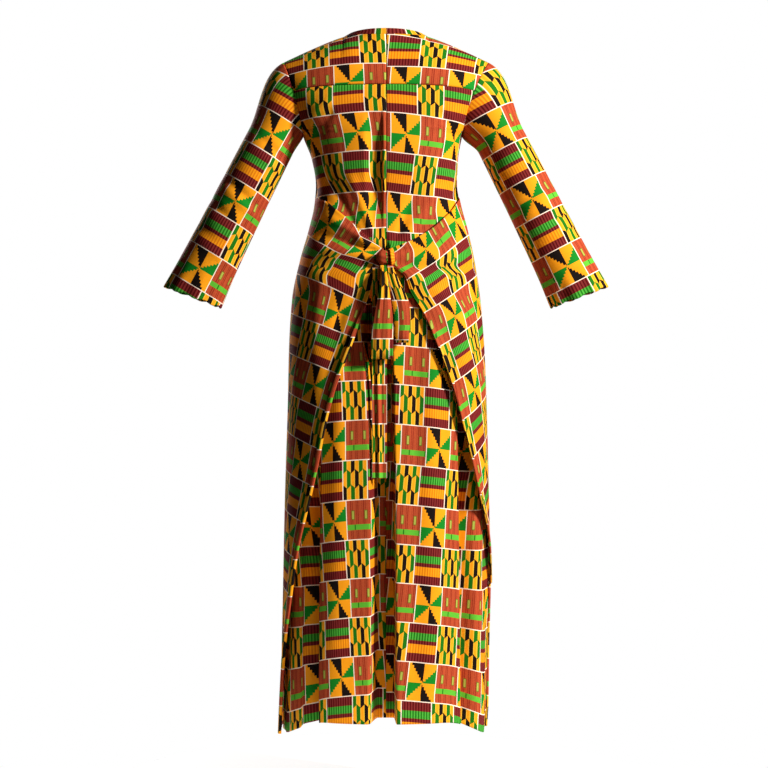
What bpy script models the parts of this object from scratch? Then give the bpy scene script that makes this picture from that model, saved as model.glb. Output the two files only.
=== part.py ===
"""A long-sleeved dashiki maxi dress, worn open form, tied at the centre back.

Metres, +Z up. The front faces -Y and the wearer's left side is at +X. The origin is between the
shoulders at the base of the neck, where the wearer carries the dress. "down" is the distance below it.
"""

import math

import bmesh
import bpy
import numpy as np
from mathutils import Vector

# Cloth and seams
WALL = 0.0015
SETBACK = 0.00035  # how far each edge stays back from a flat seam
RIDGE_SETBACK = 0.0009  # the same where a seam runs along the shoulder ridge
SLEEVE_GAP = 0.0008

# Torso and skirt, outer face: distance down, reach to the left and right, depth at back and front
SECTIONS = [
    # down, left, right, back, front
    (0.108, 0.178, 0.169, 0.095, 0.098),
    (0.135, 0.178, 0.169, 0.098, 0.110),
    (0.195, 0.163, 0.150, 0.099, 0.119),
    (0.240, 0.146, 0.142, 0.094, 0.117),
    (0.290, 0.138, 0.140, 0.086, 0.108),
    (0.329, 0.141, 0.147, 0.084, 0.102),
    (0.378, 0.152, 0.160, 0.090, 0.100),
    (0.437, 0.169, 0.173, 0.101, 0.104),
    (0.516, 0.185, 0.185, 0.117, 0.111),
    (0.615, 0.191, 0.193, 0.128, 0.120),
    (0.713, 0.193, 0.197, 0.134, 0.127),
    (0.910, 0.199, 0.202, 0.143, 0.139),
    (1.107, 0.203, 0.206, 0.151, 0.149),
    (1.304, 0.207, 0.206, 0.157, 0.158),
    (1.362, 0.208, 0.204, 0.158, 0.161),
]
SQUARE = 0.12  # how much fuller than an ellipse a section is between its axes

# Armhole loops, by angle: 0 at the shoulder, 90 at the back or front, 180 under the arm
SHOULDER_DOWN = 0.050
UNDERARM_DOWN = 0.195
ARM_TOP_X = 0.203
ARM_MIDDLE_X = {1: 0.178, -1: 0.169}
ARM_BOTTOM_X = {1: 0.163, -1: 0.150}
ARM_DEPTH = 0.058
YOKE_ANGLE = 84
CHEST_ANGLE = 100
ARMHOLE_STOPS = (0, 21, 42, 63, 84, 100, 120, 140, 160, 180)
# The share of a quarter turn that a section makes before it meets the armhole
TURNS = [(0.108, 60), (0.135, 62), (0.159, 68), (0.178, 76), (0.191, 85), (0.195, 90)]

# Neck and shoulders
NECK_HALF = 0.082
NECK_SIDE_UP = 0.002
BACK_NECK_Y = 0.055
BACK_NECK_DOWN = 0.001
FRONT_NECK_Y = -0.080
FRONT_NECK_DOWN = 0.075
NECK_SHARE = 0.42  # the share of the top edge that is neckline
NECK_STEPS = 6
SHOULDER_STEPS = 4
BAND_HEIGHT = 0.009
BAND_GAP = 0.0009
YOKE_DOWN = 0.108
YOKE_SIDE_DROP = 0.007

# Levels of the rows below the chest
WAIST_ROW = 0.315
TIE_LEVEL = 0.424
LEVELS = [0.220, 0.255, 0.290, WAIST_ROW, 0.330, 0.348, 0.368, 0.388, 0.408, 0.424, 0.438, 0.452]
LEVELS += [0.475, 0.505, 0.545, 0.595, 0.650, 0.710, 0.780, 0.850, 0.920, 0.990, 1.060, 1.130]
LEVELS += [1.200, 1.265, 1.320, 1.362]
HEM_DOWN = 1.362
BACK_HEM_RISE = 0.040
FRONT_HEM_RISE = 0.004
HEM_BLEND_DOWN = 0.90  # rows lower than this lean towards the hem's own line

# Free edges of the front panel where it wraps to the back: distance from the centre back line
WRAP_EDGES = [
    # down, left, right
    (0.327, 0.118, 0.139),
    (0.344, 0.097, 0.128),
    (0.361, 0.077, 0.112),
    (0.385, 0.051, 0.085),
    (0.405, 0.030, 0.052),
    (0.424, 0.006, 0.006),
    (0.452, 0.006, 0.010),
    (0.475, 0.022, 0.036),
    (0.505, 0.031, 0.047),
    (0.545, 0.045, 0.071),
    (0.615, 0.068, 0.099),
    (0.690, 0.094, 0.125),
    (0.760, 0.112, 0.143),
    (0.830, 0.125, 0.161),
    (0.900, 0.140, 0.178),
]
# Lower down the edges pass round the side, so they are given as degrees from the centre back
WRAP_HEM_ANGLES = [
    # down, left, right
    (1.000, 51.0, 80.0),
    (1.100, 59.0, 92.0),
    (1.200, 68.0, 98.0),
    (1.362, 78.0, 101.0),
]
SIDE_ANGLES = [(0.0, 90.0, 90.0), (0.80, 90.0, 90.0), (1.362, 97.0, 104.0)]
WRAP_LIFT = 0.006

# Back skirt under the wrap: how far it stays inside, and its folds
BACK_INSET = [(0.268, 0.0), (WAIST_ROW, 0.0050), (0.360, 0.0060), (0.450, 0.0085), (0.560, 0.0110)]
SIDE_INSET = 0.0032
SIDE_INSET_DEGREES = 12
FOLDS = [
    # down, trough left lip, trough right lip, depth, left lobe lip, its depth, right lobe lip, depth
    (0.150, 0.046, 0.0045, 0.000, 0.120, 0.000, 0.120, 0.000),
    (0.235, 0.044, 0.0045, 0.010, 0.118, 0.000, 0.120, 0.000),
    (0.300, 0.044, 0.0045, 0.011, 0.118, 0.000, 0.120, 0.000),
    (0.385, 0.042, 0.0045, 0.001, 0.118, 0.000, 0.120, 0.000),
    (0.405, 0.042, -0.0080, 0.001, 0.118, 0.000, 0.124, 0.000),
    (0.430, 0.046, -0.0090, 0.012, 0.120, 0.000, 0.128, 0.000),
    (0.505, 0.060, -0.0110, 0.036, 0.124, 0.006, 0.136, 0.006),
    (0.713, 0.040, -0.0170, 0.050, 0.130, 0.022, 0.143, 0.030),
    (0.950, 0.033, -0.0200, 0.058, 0.132, 0.034, 0.146, 0.042),
    (1.362, 0.036, -0.0215, 0.064, 0.134, 0.040, 0.149, 0.040),
]
TROUGH_LEFT_FLANK = 0.020
TROUGH_RIGHT_FLANK = 0.006
LOBE_FLANK = 0.010
LOBE_RETURN = 0.036
# Columns of each half of the back at the hem, from the centre out; the last is the side seam
LEFT_STATIONS = (0.0, 0.0025, 0.0095, 0.020, 0.029, 0.037, 0.055, 0.077, 0.099, 0.119, 0.133, 0.144, 0.158, 0.173, 0.190)
RIGHT_STATIONS = (0.0, 0.0145, 0.0215, 0.029, 0.047, 0.070, 0.094, 0.118, 0.137, 0.149, 0.159, 0.171, 0.184, 0.195)
LEAST_LIP = 0.018  # a lip nearer the centre than this doesn't move the columns

# Front
WRAP_COLUMNS = 7
FRONT_FLUTES = 3
FLUTE_DEPTH = 0.007

# Sleeves
SLEEVE_AXIS = Vector((0.462, 0.0, -0.887))
BICEPS_CENTRE = Vector((0.2265, 0.0, -0.204))
BICEPS_HALF_WIDTH = 0.049
BICEPS_HALF_DEPTH = 0.054
CUFF_CENTRE = Vector((0.381, -0.035, -0.500))
CUFF_HALF_WIDTH = 0.056
CUFF_HALF_DEPTH = 0.050
CUFF_WAVES = 12
CUFF_WAVE = 0.0022
CUFF_SCALLOP = 0.0030
UPPER_SHARES = (0.0, 0.16, 0.36, 0.60, 1.0)
LOWER_SHARES = (0.25, 0.50, 0.75, 0.93, 1.0)

# Bow
KNOT_CENTRE = Vector((-0.001, 0.1126, -0.441))
KNOT_HALF = Vector((0.020, 0.0115, 0.0145))
SEAT = 0.0004  # between pieces that lie on each other
LOOP_ROUTE = [
    # down, depth: the outer layer from the knot, round the end, and back up behind
    (0.4560, 0.1185),
    (0.470, 0.1310),
    (0.495, 0.1400),
    (0.545, 0.1460),
    (0.590, 0.1460),
    (0.620, 0.1430),
    (0.634, 0.1380),
    (0.629, 0.1315),
    (0.600, 0.1275),
    (0.550, 0.1245),
    (0.500, 0.1220),
    (0.475, 0.1190),
    (0.4560, 0.1140),
]
LOOP_END = 0.634
LOOP_TURN = 6  # the row at the lowest point of a loop
LEFT_LOOP = {"top_x": 0.0050, "end_x": 0.0095, "top_width": 0.011, "end_width": 0.038, "end": 0.634}
RIGHT_LOOP = {"top_x": -0.0080, "end_x": -0.0290, "top_width": 0.011, "end_width": 0.022, "end": 0.606}
LOOP_ACROSS = 4
LOOP_CROWN = 0.004
TAIL_WIDTH = 0.028
TAIL_CENTRE = 0.0125
TAIL_TOP = 0.458
TAIL_LEAVES = 0.505  # where it stops lying on the wrap
TAIL_END = 0.860
TAIL_END_Y = 0.1300
TAIL_OVER = 0.0012  # how far its outer face stands over the wrap's section
TAIL_RIDGE = 0.0016
TAIL_ROWS = 14

COLLECTION = "dashiki_dress"
COLOURS = {
    "kente_orange": (0.80, 0.33, 0.03, 1.0),
    "kente_maroon": (0.28, 0.03, 0.03, 1.0),
    "kente_green": (0.06, 0.30, 0.05, 1.0),
}


def clear_scene():
    for old in list(bpy.data.objects):
        bpy.data.objects.remove(old, do_unlink=True)


def smoothstep(value):
    t = min(max(value, 0.0), 1.0)
    return t * t * (3 - 2 * t)


def curve(places, values):
    """A smooth curve through the values, which never swings past them."""
    places = np.array(places, float)
    values = np.array(values, float)
    widths = np.diff(places)
    slopes = np.diff(values) / widths
    tangents = np.zeros(len(places))
    tangents[0], tangents[-1] = slopes[0], slopes[-1]
    for i in range(1, len(places) - 1):
        if slopes[i - 1] * slopes[i] > 0:
            tangents[i] = 2 / (1 / slopes[i - 1] + 1 / slopes[i])

    def value(place):
        place = min(max(place, places[0]), places[-1])
        i = min(int(np.searchsorted(places, place, side="right")) - 1, len(widths) - 1)
        t = (place - places[i]) / widths[i]
        start, end = (2 * t - 3) * t * t + 1, (3 - 2 * t) * t * t
        lead, trail = ((t - 2) * t + 1) * t, (t - 1) * t * t
        return (
            start * values[i]
            + end * values[i + 1]
            + widths[i] * (lead * tangents[i] + trail * tangents[i + 1])
        )

    return value


def columns(rows):
    """One curve for each column of a table, over its first column."""
    places = [row[0] for row in rows]
    return [curve(places, [row[i] for row in rows]) for i in range(1, len(rows[0]))]


left_reach, right_reach, back_depth, front_depth = columns(SECTIONS)
(turn_of,) = columns(TURNS)
(back_inset,) = columns(BACK_INSET)
left_side_angle, right_side_angle = columns(SIDE_ANGLES)
(left_lip, right_lip, trough_depth, left_lobe, left_lobe_depth, right_lobe, right_lobe_depth) = columns(FOLDS)


def armhole(side, degrees, front=False):
    """A point of the armhole: side is 1 for the wearer's left and -1 for the right."""
    c, s = math.cos(math.radians(degrees)), math.sin(math.radians(degrees))
    middle, bottom = ARM_MIDDLE_X[side], ARM_BOTTOM_X[side]
    x = middle + (ARM_TOP_X - bottom) / 2 * c + ((ARM_TOP_X + bottom) / 2 - middle) * c * c
    down = (SHOULDER_DOWN + UNDERARM_DOWN) / 2 - (UNDERARM_DOWN - SHOULDER_DOWN) / 2 * c
    return Vector((side * x, (-1 if front else 1) * ARM_DEPTH * s, -down))


def armhole_angle(down):
    middle, half = (SHOULDER_DOWN + UNDERARM_DOWN) / 2, (UNDERARM_DOWN - SHOULDER_DOWN) / 2
    return math.degrees(math.acos(min(max((middle - down) / half, -1), 1)))


def section(side, degrees, down, inset=0.0, rise=None):
    """A point round the body: 0 degrees is the centre back, 90 the side and 180 the centre front."""
    front = degrees > 90
    turned = math.radians(180 - degrees if front else degrees)
    depth = (front_depth(down) if front else back_depth(down)) - inset
    if down < UNDERARM_DOWN - 1e-6:
        edge = armhole(side, armhole_angle(down))
        reach, edge_y = abs(edge.x) - inset, edge.y
        last = math.radians(turn_of(down))
        turned *= last / (math.pi / 2)
    else:
        reach = (left_reach if side > 0 else right_reach)(down) - inset
        edge_y, last = 0.0, math.pi / 2

    def across(angle):
        return math.sin(angle) * (1 + SQUARE * math.cos(angle) ** 2)

    def along(angle):
        return math.cos(angle) * (1 + SQUARE * math.sin(angle) ** 2)

    x = reach * across(turned) / across(last)
    y = edge_y + (depth - edge_y) * (along(turned) - along(last)) / (1 - along(last))
    return Vector((side * x, -y if front else y, -down if rise is None else rise))


def angle_at(side, x, down):
    """The degrees from the centre back at which the back of a section is x from the centre line."""
    low, high = 0.0, 90.0
    for _ in range(30):
        middle = (low + high) / 2
        if abs(section(side, middle, down).x) < x:
            low = middle
        else:
            high = middle
    return (low + high) / 2


def side_angle(side, down):
    return (left_side_angle if side > 0 else right_side_angle)(down)


def wrap_edge(side):
    """The curve of the wrap's free edge, in degrees from the centre back."""
    column = 1 if side > 0 else 2
    rows = [(WAIST_ROW, side_angle(side, WAIST_ROW))]
    rows += [(row[0], angle_at(side, row[column], row[0])) for row in WRAP_EDGES]
    rows += [(row[0], row[column]) for row in WRAP_HEM_ANGLES]
    return curve([row[0] for row in rows], [row[1] for row in rows])


def new_material(name, roughness=0.85):
    found = bpy.data.materials.get(name)
    if found:
        return found
    made = bpy.data.materials.new(name)
    made.use_nodes = True
    shader = made.node_tree.nodes["Principled BSDF"]
    shader.inputs["Base Color"].default_value = COLOURS[name]
    shader.inputs["Roughness"].default_value = roughness
    shader.inputs["Metallic"].default_value = 0.0
    made.diffuse_color = COLOURS[name]
    return made


def add_grid(mesh, rows, closed=False):
    made = [[mesh.verts.new(point) for point in row] for row in rows]
    for upper, lower in zip(made, made[1:]):
        last = len(upper) if closed else len(upper) - 1
        for i in range(last):
            j = (i + 1) % len(upper)
            mesh.faces.new((upper[i], lower[i], lower[j], upper[j]))


def cloth(name, grids, outward, material, closed=False):
    """Sews the grids of points together into one open surface and gives it the wall."""
    mesh = bmesh.new()
    for rows in grids:
        add_grid(mesh, rows, closed)
    bmesh.ops.remove_doubles(mesh, verts=mesh.verts, dist=1e-6)
    bmesh.ops.recalc_face_normals(mesh, faces=mesh.faces)
    mesh.faces.ensure_lookup_table()
    lean = sum(face.normal.dot(outward(face.calc_center_median())) for face in mesh.faces)
    if lean < 0:
        bmesh.ops.reverse_faces(mesh, faces=mesh.faces)
    data = bpy.data.meshes.new(name)
    mesh.to_mesh(data)
    mesh.free()
    data.shade_smooth()
    made = bpy.data.objects.new(name, data)
    parts.objects.link(made)
    made.data.materials.append(new_material(material))
    wall = made.modifiers.new("wall", "SOLIDIFY")
    wall.thickness = WALL
    wall.offset = -1
    return made


def from_body_axis(point):
    return Vector((point.x, point.y, 0.0))


def hermite(start, end, start_pull, end_pull, t):
    a, b = (2 * t - 3) * t * t + 1, (3 - 2 * t) * t * t
    return start * a + end * b + start_pull * (((t - 2) * t + 1) * t) + end_pull * ((t - 1) * t * t)


def neckline(side, degrees):
    """A point of the neck edge: 0 degrees is the centre back and 180 the centre front."""
    s, c = math.sin(math.radians(degrees)), math.cos(math.radians(degrees))
    if degrees <= 90:
        y, down = BACK_NECK_Y * c, -NECK_SIDE_UP + (BACK_NECK_DOWN + NECK_SIDE_UP) * c
    else:
        y, down = FRONT_NECK_Y * -c, -NECK_SIDE_UP + (FRONT_NECK_DOWN + NECK_SIDE_UP) * -c
    return Vector((side * NECK_HALF * s, y, -down))


def top_edge(side, share, front):
    """A point of the edge along the neckline and then the shoulder, and the cloth's pull there."""
    forward = 1 if front else -1
    if share < NECK_SHARE - 1e-6:
        turn = 90 * share / NECK_SHARE
        point = neckline(side, 180 - turn if front else turn)
        lean = smoothstep(share / NECK_SHARE)
        return point, Vector((0, forward * (0.35 + 0.65 * lean), 1 - 0.8 * lean))
    along = (share - NECK_SHARE) / (1 - NECK_SHARE)
    x = NECK_HALF + (ARM_TOP_X - NECK_HALF) * along
    down = -NECK_SIDE_UP + (SHOULDER_DOWN + NECK_SIDE_UP) * along**1.15
    return Vector((side * x, -forward * RIDGE_SETBACK, -down)), Vector((0, forward, 0.12))


def upper_patch(side, share, v, front):
    """The cloth between the chest or the yoke seam, v = 0, and the top edge, v = 1."""
    base_angle = CHEST_ANGLE if front else YOKE_ANGLE
    base_down = -armhole(side, base_angle).z
    if not front:
        base_down = yoke_down(share)
    start = section(side, 180 - 90 * share if front else 90 * share, base_down)
    end, pull = top_edge(side, share, front)
    length = (end - start).length
    point = hermite(start, end, Vector((0, 0, 1)) * length, pull.normalized() * length, v)
    edge_angle = base_angle * (1 - v)
    edge = armhole(side, edge_angle, front)
    edge.y += (-1 if front else 1) * RIDGE_SETBACK * max(0, 1 - edge_angle / ARMHOLE_STOPS[1])
    if share > 0.999:
        return edge
    last_start = armhole(side, base_angle, front)
    last_end, last_pull = top_edge(side, 1.0, front)
    span = (last_end - last_start).length
    last = hermite(last_start, last_end, Vector((0, 0, 1)) * span, last_pull.normalized() * span, v)
    return point + (edge - last) * share**6


def yoke_down(share):
    return YOKE_DOWN + (-armhole(1, YOKE_ANGLE).z - YOKE_DOWN) * share**2


def top_shares():
    """The columns of the cloth below the top edge: those of the neckline, then those of the shoulder."""
    neck = [NECK_SHARE * i / NECK_STEPS for i in range(NECK_STEPS + 1)]
    return neck + [NECK_SHARE + (1 - NECK_SHARE) * (i + 1) / SHOULDER_STEPS for i in range(SHOULDER_STEPS)]


def patch_steps(base_angle):
    """The heights of the patch's rows, so that they meet the armhole's stops."""
    return [1 - stop / base_angle for stop in ARMHOLE_STOPS if stop <= base_angle]


def make_yoke(side, name):
    shares = top_shares()
    rows = []
    for v in patch_steps(YOKE_ANGLE):
        row = []
        for share in shares:
            point = upper_patch(side, share, v, front=False)
            if v < 1e-6:
                point.z += SETBACK
            point.x += side * SETBACK if share == 0 else 0
            row.append(point)
        rows.append(row)
    return cloth(name, [rows], lambda p: Vector((p.x, p.y, p.z + 0.15)), "kente_orange")


def hem_lean(down, rise_at_hem):
    """How far a row near the hem is raised."""
    share = max(down - HEM_BLEND_DOWN, 0) / (HEM_DOWN - HEM_BLEND_DOWN)
    return rise_at_hem * share**1.5


def fold_at(side, x, down):
    """How deep the folds push the back in at x from the centre line, and the lobe's share of it."""
    signed = side * x
    left, right = left_lip(down), right_lip(down)
    trough = (
        trough_depth(down)
        * smoothstep((left - signed) / TROUGH_LEFT_FLANK)
        * smoothstep((signed - right) / TROUGH_RIGHT_FLANK)
    )
    lip = (left_lobe if side > 0 else right_lobe)(down)
    depth = (left_lobe_depth if side > 0 else right_lobe_depth)(down)
    beyond = x - lip
    lobe = depth * smoothstep(beyond / LOBE_FLANK) * (1 - smoothstep((beyond - LOBE_FLANK) / LOBE_RETURN))
    return trough, lobe


def back_point(side, x, last_x, down):
    """A point of the back below the yoke, x from the centre line; last_x is the side seam's."""
    side_degrees = side_angle(side, down)
    if x > last_x - 1e-6:
        degrees = side_degrees
    else:
        degrees = angle_at(side, x, down)
    near_side = 1 - smoothstep((side_degrees - degrees) / SIDE_INSET_DEGREES)
    full = back_inset(down)
    inset = full + (min(full, SIDE_INSET) - full) * near_side
    hem_share = 1 - smoothstep((degrees - 30) / 55)
    rise = -down + hem_lean(down, BACK_HEM_RISE * hem_share)
    point = section(side, degrees, down, inset, rise)
    trough, lobe = fold_at(side, x, down)
    point.y -= trough
    turned = math.radians(degrees)
    point.x -= side * lobe * 0.55 * math.sin(turned)
    point.y -= lobe * 0.9
    return point


def back_row(side, down, top_row=False):
    """The row of points of one half of the back at a level."""
    stations = LEFT_STATIONS if side > 0 else RIGHT_STATIONS
    trough_lip, lobe_lip = (left_lip, left_lobe) if side > 0 else (lambda d: -right_lip(d), right_lobe)
    hem_side = (left_reach if side > 0 else right_reach)(HEM_DOWN)
    side_x = abs(section(side, min(side_angle(side, down), 90.0), down).x)
    marks = (0, max(trough_lip(HEM_DOWN), LEAST_LIP), lobe_lip(HEM_DOWN), hem_side)
    lip = max(trough_lip(down), LEAST_LIP)
    here = (0, lip, min(lobe_lip(down), side_x * 0.86), side_x)
    row = []
    for station in stations + (hem_side,):
        x = float(np.interp(station, marks, here))
        level = yoke_down(x / side_x) + SETBACK if top_row else down
        point = back_point(side, x, side_x, level)
        if station == 0.0:
            point.x += side * SETBACK
        row.append(point)
    if down > UNDERARM_DOWN - 1e-6:
        row[-1].y += SETBACK
    return row


def chest_levels(first_angle):
    return [-armhole(1, stop).z for stop in ARMHOLE_STOPS if stop > first_angle]


def make_back(side, name):
    rows = [back_row(side, YOKE_DOWN, top_row=True)]
    rows += [back_row(side, down) for down in chest_levels(YOKE_ANGLE) + LEVELS]
    return cloth(name, [rows], from_body_axis, "kente_orange")


def front_point(side, degrees, down):
    """A point of the front panel between the centre front and the side."""
    point = section(side, degrees, down, rise=-down + hem_lean(down, FRONT_HEM_RISE))
    flare = smoothstep((down - 0.5) / 0.8)
    turned = math.radians(180 - degrees)
    wave = math.cos(2 * FRONT_FLUTES * turned) * FLUTE_DEPTH * flare * math.cos(turned / 1.2) ** 2
    point.y += wave if degrees > 90 else 0
    return point


def wrap_point(side, degrees, down, free_edge):
    """A point of the front panel where it passes the side and wraps to the back."""
    span = max(side_angle(side, down) - free_edge, 1e-3)
    share = (side_angle(side, down) - degrees) / span
    lift = WRAP_LIFT * share**2 * smoothstep((down - 0.50) / 0.2) * smoothstep((80 - free_edge) / 40)
    return section(side, degrees, down, -lift)


def front_rows():
    """The middle of the front, from the shoulders to the hem, right side to left side."""
    shares = top_shares()
    rows = []
    for v in patch_steps(CHEST_ANGLE):
        right = [upper_patch(-1, share, v, front=True) for share in reversed(shares)]
        left = [upper_patch(1, share, v, front=True) for share in shares[1:]]
        rows.append(right + left)
    for down in chest_levels(CHEST_ANGLE) + LEVELS:
        row = []
        for side, order in ((-1, list(reversed(shares))), (1, shares[1:])):
            last = side_angle(side, down)
            for share in order:
                point = front_point(side, max(180 - (180 - last) * share, 90.001), down)
                if share == 1 and UNDERARM_DOWN - 1e-6 < down < WAIST_ROW - 1e-6:
                    point.y -= SETBACK
                row.append(point)
        rows.append(row)
    return rows


def wrap_top(side):
    """The level of the wrap's top edge over the degrees from the centre back."""
    column = 1 if side > 0 else 2
    rows = [(angle_at(side, row[column], row[0]), row[0]) for row in WRAP_EDGES if row[0] <= TIE_LEVEL]
    rows = sorted(rows + [(side_angle(side, WAIST_ROW), WAIST_ROW)])
    return curve([row[0] for row in rows], [row[1] for row in rows])


def wrap_rows(side):
    """The wrap from the side line to its free edges; above the tie the rows fan out to the top edge."""
    edge, top = wrap_edge(side), wrap_top(side)
    rows = []
    for level in [level for level in LEVELS if level >= WAIST_ROW]:
        first = max(side_angle(side, level), 90.001)
        last = edge(max(level, TIE_LEVEL))
        row = [front_point(side, first, level)]
        for i in range(1, WRAP_COLUMNS + 1):
            degrees = first + (last - first) * i / WRAP_COLUMNS
            down = level
            if level < TIE_LEVEL:
                down = top(degrees)
                down += (TIE_LEVEL - down) * (level - WAIST_ROW) / (TIE_LEVEL - WAIST_ROW)
            row.append(wrap_point(side, degrees, down, last))
        rows.append(row)
    return rows


def make_front():
    grids = [front_rows(), wrap_rows(1), wrap_rows(-1)]
    return cloth("front_panel", grids, from_body_axis, "kente_orange")


def sleeve_angles():
    """The columns round a sleeve: the armhole's stops and the places midway between them."""
    half = []
    for low, high in zip(ARMHOLE_STOPS, ARMHOLE_STOPS[1:]):
        half += [(low, low, high), ((low + high) / 2, low, high)]
    back = [(angle, low, high, False) for angle, low, high in half]
    front = [(180 - a, 180 - low, 180 - high, True) for a, low, high in mirrored_half()]
    return back + front


def mirrored_half():
    """The same columns for the front, which run back up from under the arm."""
    stops = [180 - stop for stop in reversed(ARMHOLE_STOPS)]
    half = []
    for low, high in zip(stops, stops[1:]):
        half += [(low, low, high), ((low + high) / 2, low, high)]
    return half


def sleeve_ring_point(side, angle, front, centre, half_width, half_depth):
    turned = math.radians(angle)
    across = Vector((-SLEEVE_AXIS.z, 0.0, SLEEVE_AXIS.x))
    depth = -half_depth if front else half_depth
    point = centre + across * half_width * math.cos(turned) + Vector((0, depth * math.sin(turned), 0))
    return Vector((side * point.x, point.y, point.z))


def sleeve_start(side, angle, low, high, front):
    """A point of the sleeve's seam edge, on the straight line between two stops of the armhole."""
    share = 0 if low == high else (angle - low) / (high - low)
    return armhole(side, low, front).lerp(armhole(side, high, front), share)


def sleeve_pull(side, angle, front):
    """The direction in which the cloth leaves the armhole."""
    c, s = math.cos(math.radians(angle)), math.sin(math.radians(angle))
    top, middle, bottom = Vector((0.90, 0, -0.44)), Vector((0.80, 0.10, -0.59)), SLEEVE_AXIS
    pull = top * max(c, 0) ** 1.5 + middle * s * s + bottom * max(-c, 0) ** 1.5
    return Vector((side * pull.x, (-1 if front else 1) * pull.y, pull.z)).normalized()


def make_sleeve(side, name):
    around = sleeve_angles()
    rows = []
    for share in UPPER_SHARES:
        row = []
        for angle, low, high, front in around:
            pull = sleeve_pull(side, angle, front)
            start = sleeve_start(side, angle, low, high, front) + pull * SLEEVE_GAP
            end = sleeve_ring_point(side, angle, front, BICEPS_CENTRE, BICEPS_HALF_WIDTH, BICEPS_HALF_DEPTH)
            length = (end - start).length
            axis = Vector((side * SLEEVE_AXIS.x, 0, SLEEVE_AXIS.z))
            row.append(hermite(start, end, pull * length, axis * length, share))
        rows.append(row)
    for share in LOWER_SHARES:
        centre = BICEPS_CENTRE.lerp(CUFF_CENTRE, share)
        centre.y = CUFF_CENTRE.y * share**1.4
        half_width = BICEPS_HALF_WIDTH + (CUFF_HALF_WIDTH - BICEPS_HALF_WIDTH) * share
        half_depth = BICEPS_HALF_DEPTH + (CUFF_HALF_DEPTH - BICEPS_HALF_DEPTH) * share
        row = []
        for i, (angle, _, _, front) in enumerate(around):
            ruffle = smoothstep((share - 0.80) / 0.20)
            wave = math.cos(2 * math.pi * CUFF_WAVES * i / len(around)) * ruffle
            point = sleeve_ring_point(
                side, angle, front, centre, half_width - CUFF_WAVE * wave, half_depth - CUFF_WAVE * wave
            )
            along = Vector((side * SLEEVE_AXIS.x, 0, SLEEVE_AXIS.z))
            row.append(point - along * CUFF_SCALLOP * wave)
        rows.append(row)

    def from_axis(point):
        share = (Vector((abs(point.x), point.y, point.z)) - BICEPS_CENTRE).dot(SLEEVE_AXIS)
        on_axis = BICEPS_CENTRE + SLEEVE_AXIS * share
        return point - Vector((side * on_axis.x, CUFF_CENTRE.y * max(share, 0) / 0.35, on_axis.z))

    return cloth(name, [rows], from_axis, "kente_maroon", closed=True)


def make_neck_band():
    lower, upper = [], []
    for i in range(4 * NECK_STEPS):
        turn = 90 * i / NECK_STEPS
        side = 1 if turn <= 180 else -1
        degrees = turn if turn <= 180 else 360 - turn
        edge = neckline(side, degrees)
        inward = Vector((-edge.x, -(edge.y - 0.5 * (BACK_NECK_Y + FRONT_NECK_Y)), 0)).normalized()
        stand = (inward * 0.30 + Vector((0, 0, 0.95))).normalized()
        start = edge + stand * BAND_GAP + inward * 0.0002
        lower.append(start)
        upper.append(start + stand * BAND_HEIGHT)
    rows = [upper, lower]
    return cloth("neck_band", [rows], from_body_axis, "kente_maroon", closed=True)


def knot_waist(x):
    """How much the band round the middle of the knot draws it in, over x as a share of its half width."""
    return 1 - 0.16 * math.exp(-((x / 0.35) ** 2))


def make_knot():
    """The knot: a soft lump with a band round its middle, lying on the ends of the wrap."""
    mesh = bmesh.new()
    bmesh.ops.create_uvsphere(mesh, u_segments=16, v_segments=10, radius=1.0)
    for vert in mesh.verts:
        x, y, z = vert.co
        waist = knot_waist(x)
        vert.co = Vector((x * KNOT_HALF.x, y * KNOT_HALF.y * waist, z * KNOT_HALF.z * waist))
    data = bpy.data.meshes.new("bow_knot")
    mesh.to_mesh(data)
    mesh.free()
    data.shade_smooth()
    made = bpy.data.objects.new("bow_knot", data)
    made.location = KNOT_CENTRE
    parts.objects.link(made)
    made.data.materials.append(new_material("kente_green"))
    return made


def below_knot(x, y):
    """The level just under the knot's lower face."""
    across = min(abs(x - KNOT_CENTRE.x) / KNOT_HALF.x, 0.95)
    waist = knot_waist(across)
    out = (y - KNOT_CENTRE.y) / (KNOT_HALF.y * waist)
    reach = KNOT_HALF.z * waist * math.sqrt(max(1 - across**2 - out**2, 0.0))
    return -KNOT_CENTRE.z + reach + SEAT


def make_loop(name, loop):
    """A hanging loop of the bow: a band that goes down, turns and comes back up behind."""
    top = LOOP_ROUTE[0][0]
    stretch = (loop["end"] - top) / (LOOP_END - top)
    rows = []
    for i, (down, y) in enumerate(LOOP_ROUTE):
        share = smoothstep((down - top) / (0.85 * (LOOP_END - top)))
        width = loop["top_width"] + (loop["end_width"] - loop["top_width"]) * share
        middle = loop["top_x"] + (loop["end_x"] - loop["top_x"]) * share
        level = top + (down - top) * stretch
        row = []
        for j in range(LOOP_ACROSS + 1):
            across = 2 * j / LOOP_ACROSS - 1
            crown = LOOP_CROWN * (1 - across**2) if 0 < i < LOOP_TURN else 0
            x = middle + across * width / 2
            row.append(Vector((x, y + crown, -(below_knot(x, y) if down == top else level))))
        rows.append(row)

    def away(point):
        return Vector((0, point.y - 0.134, 0.3 * (-0.56 - point.z)))

    return cloth(name, [rows], away, "kente_orange")


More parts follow.
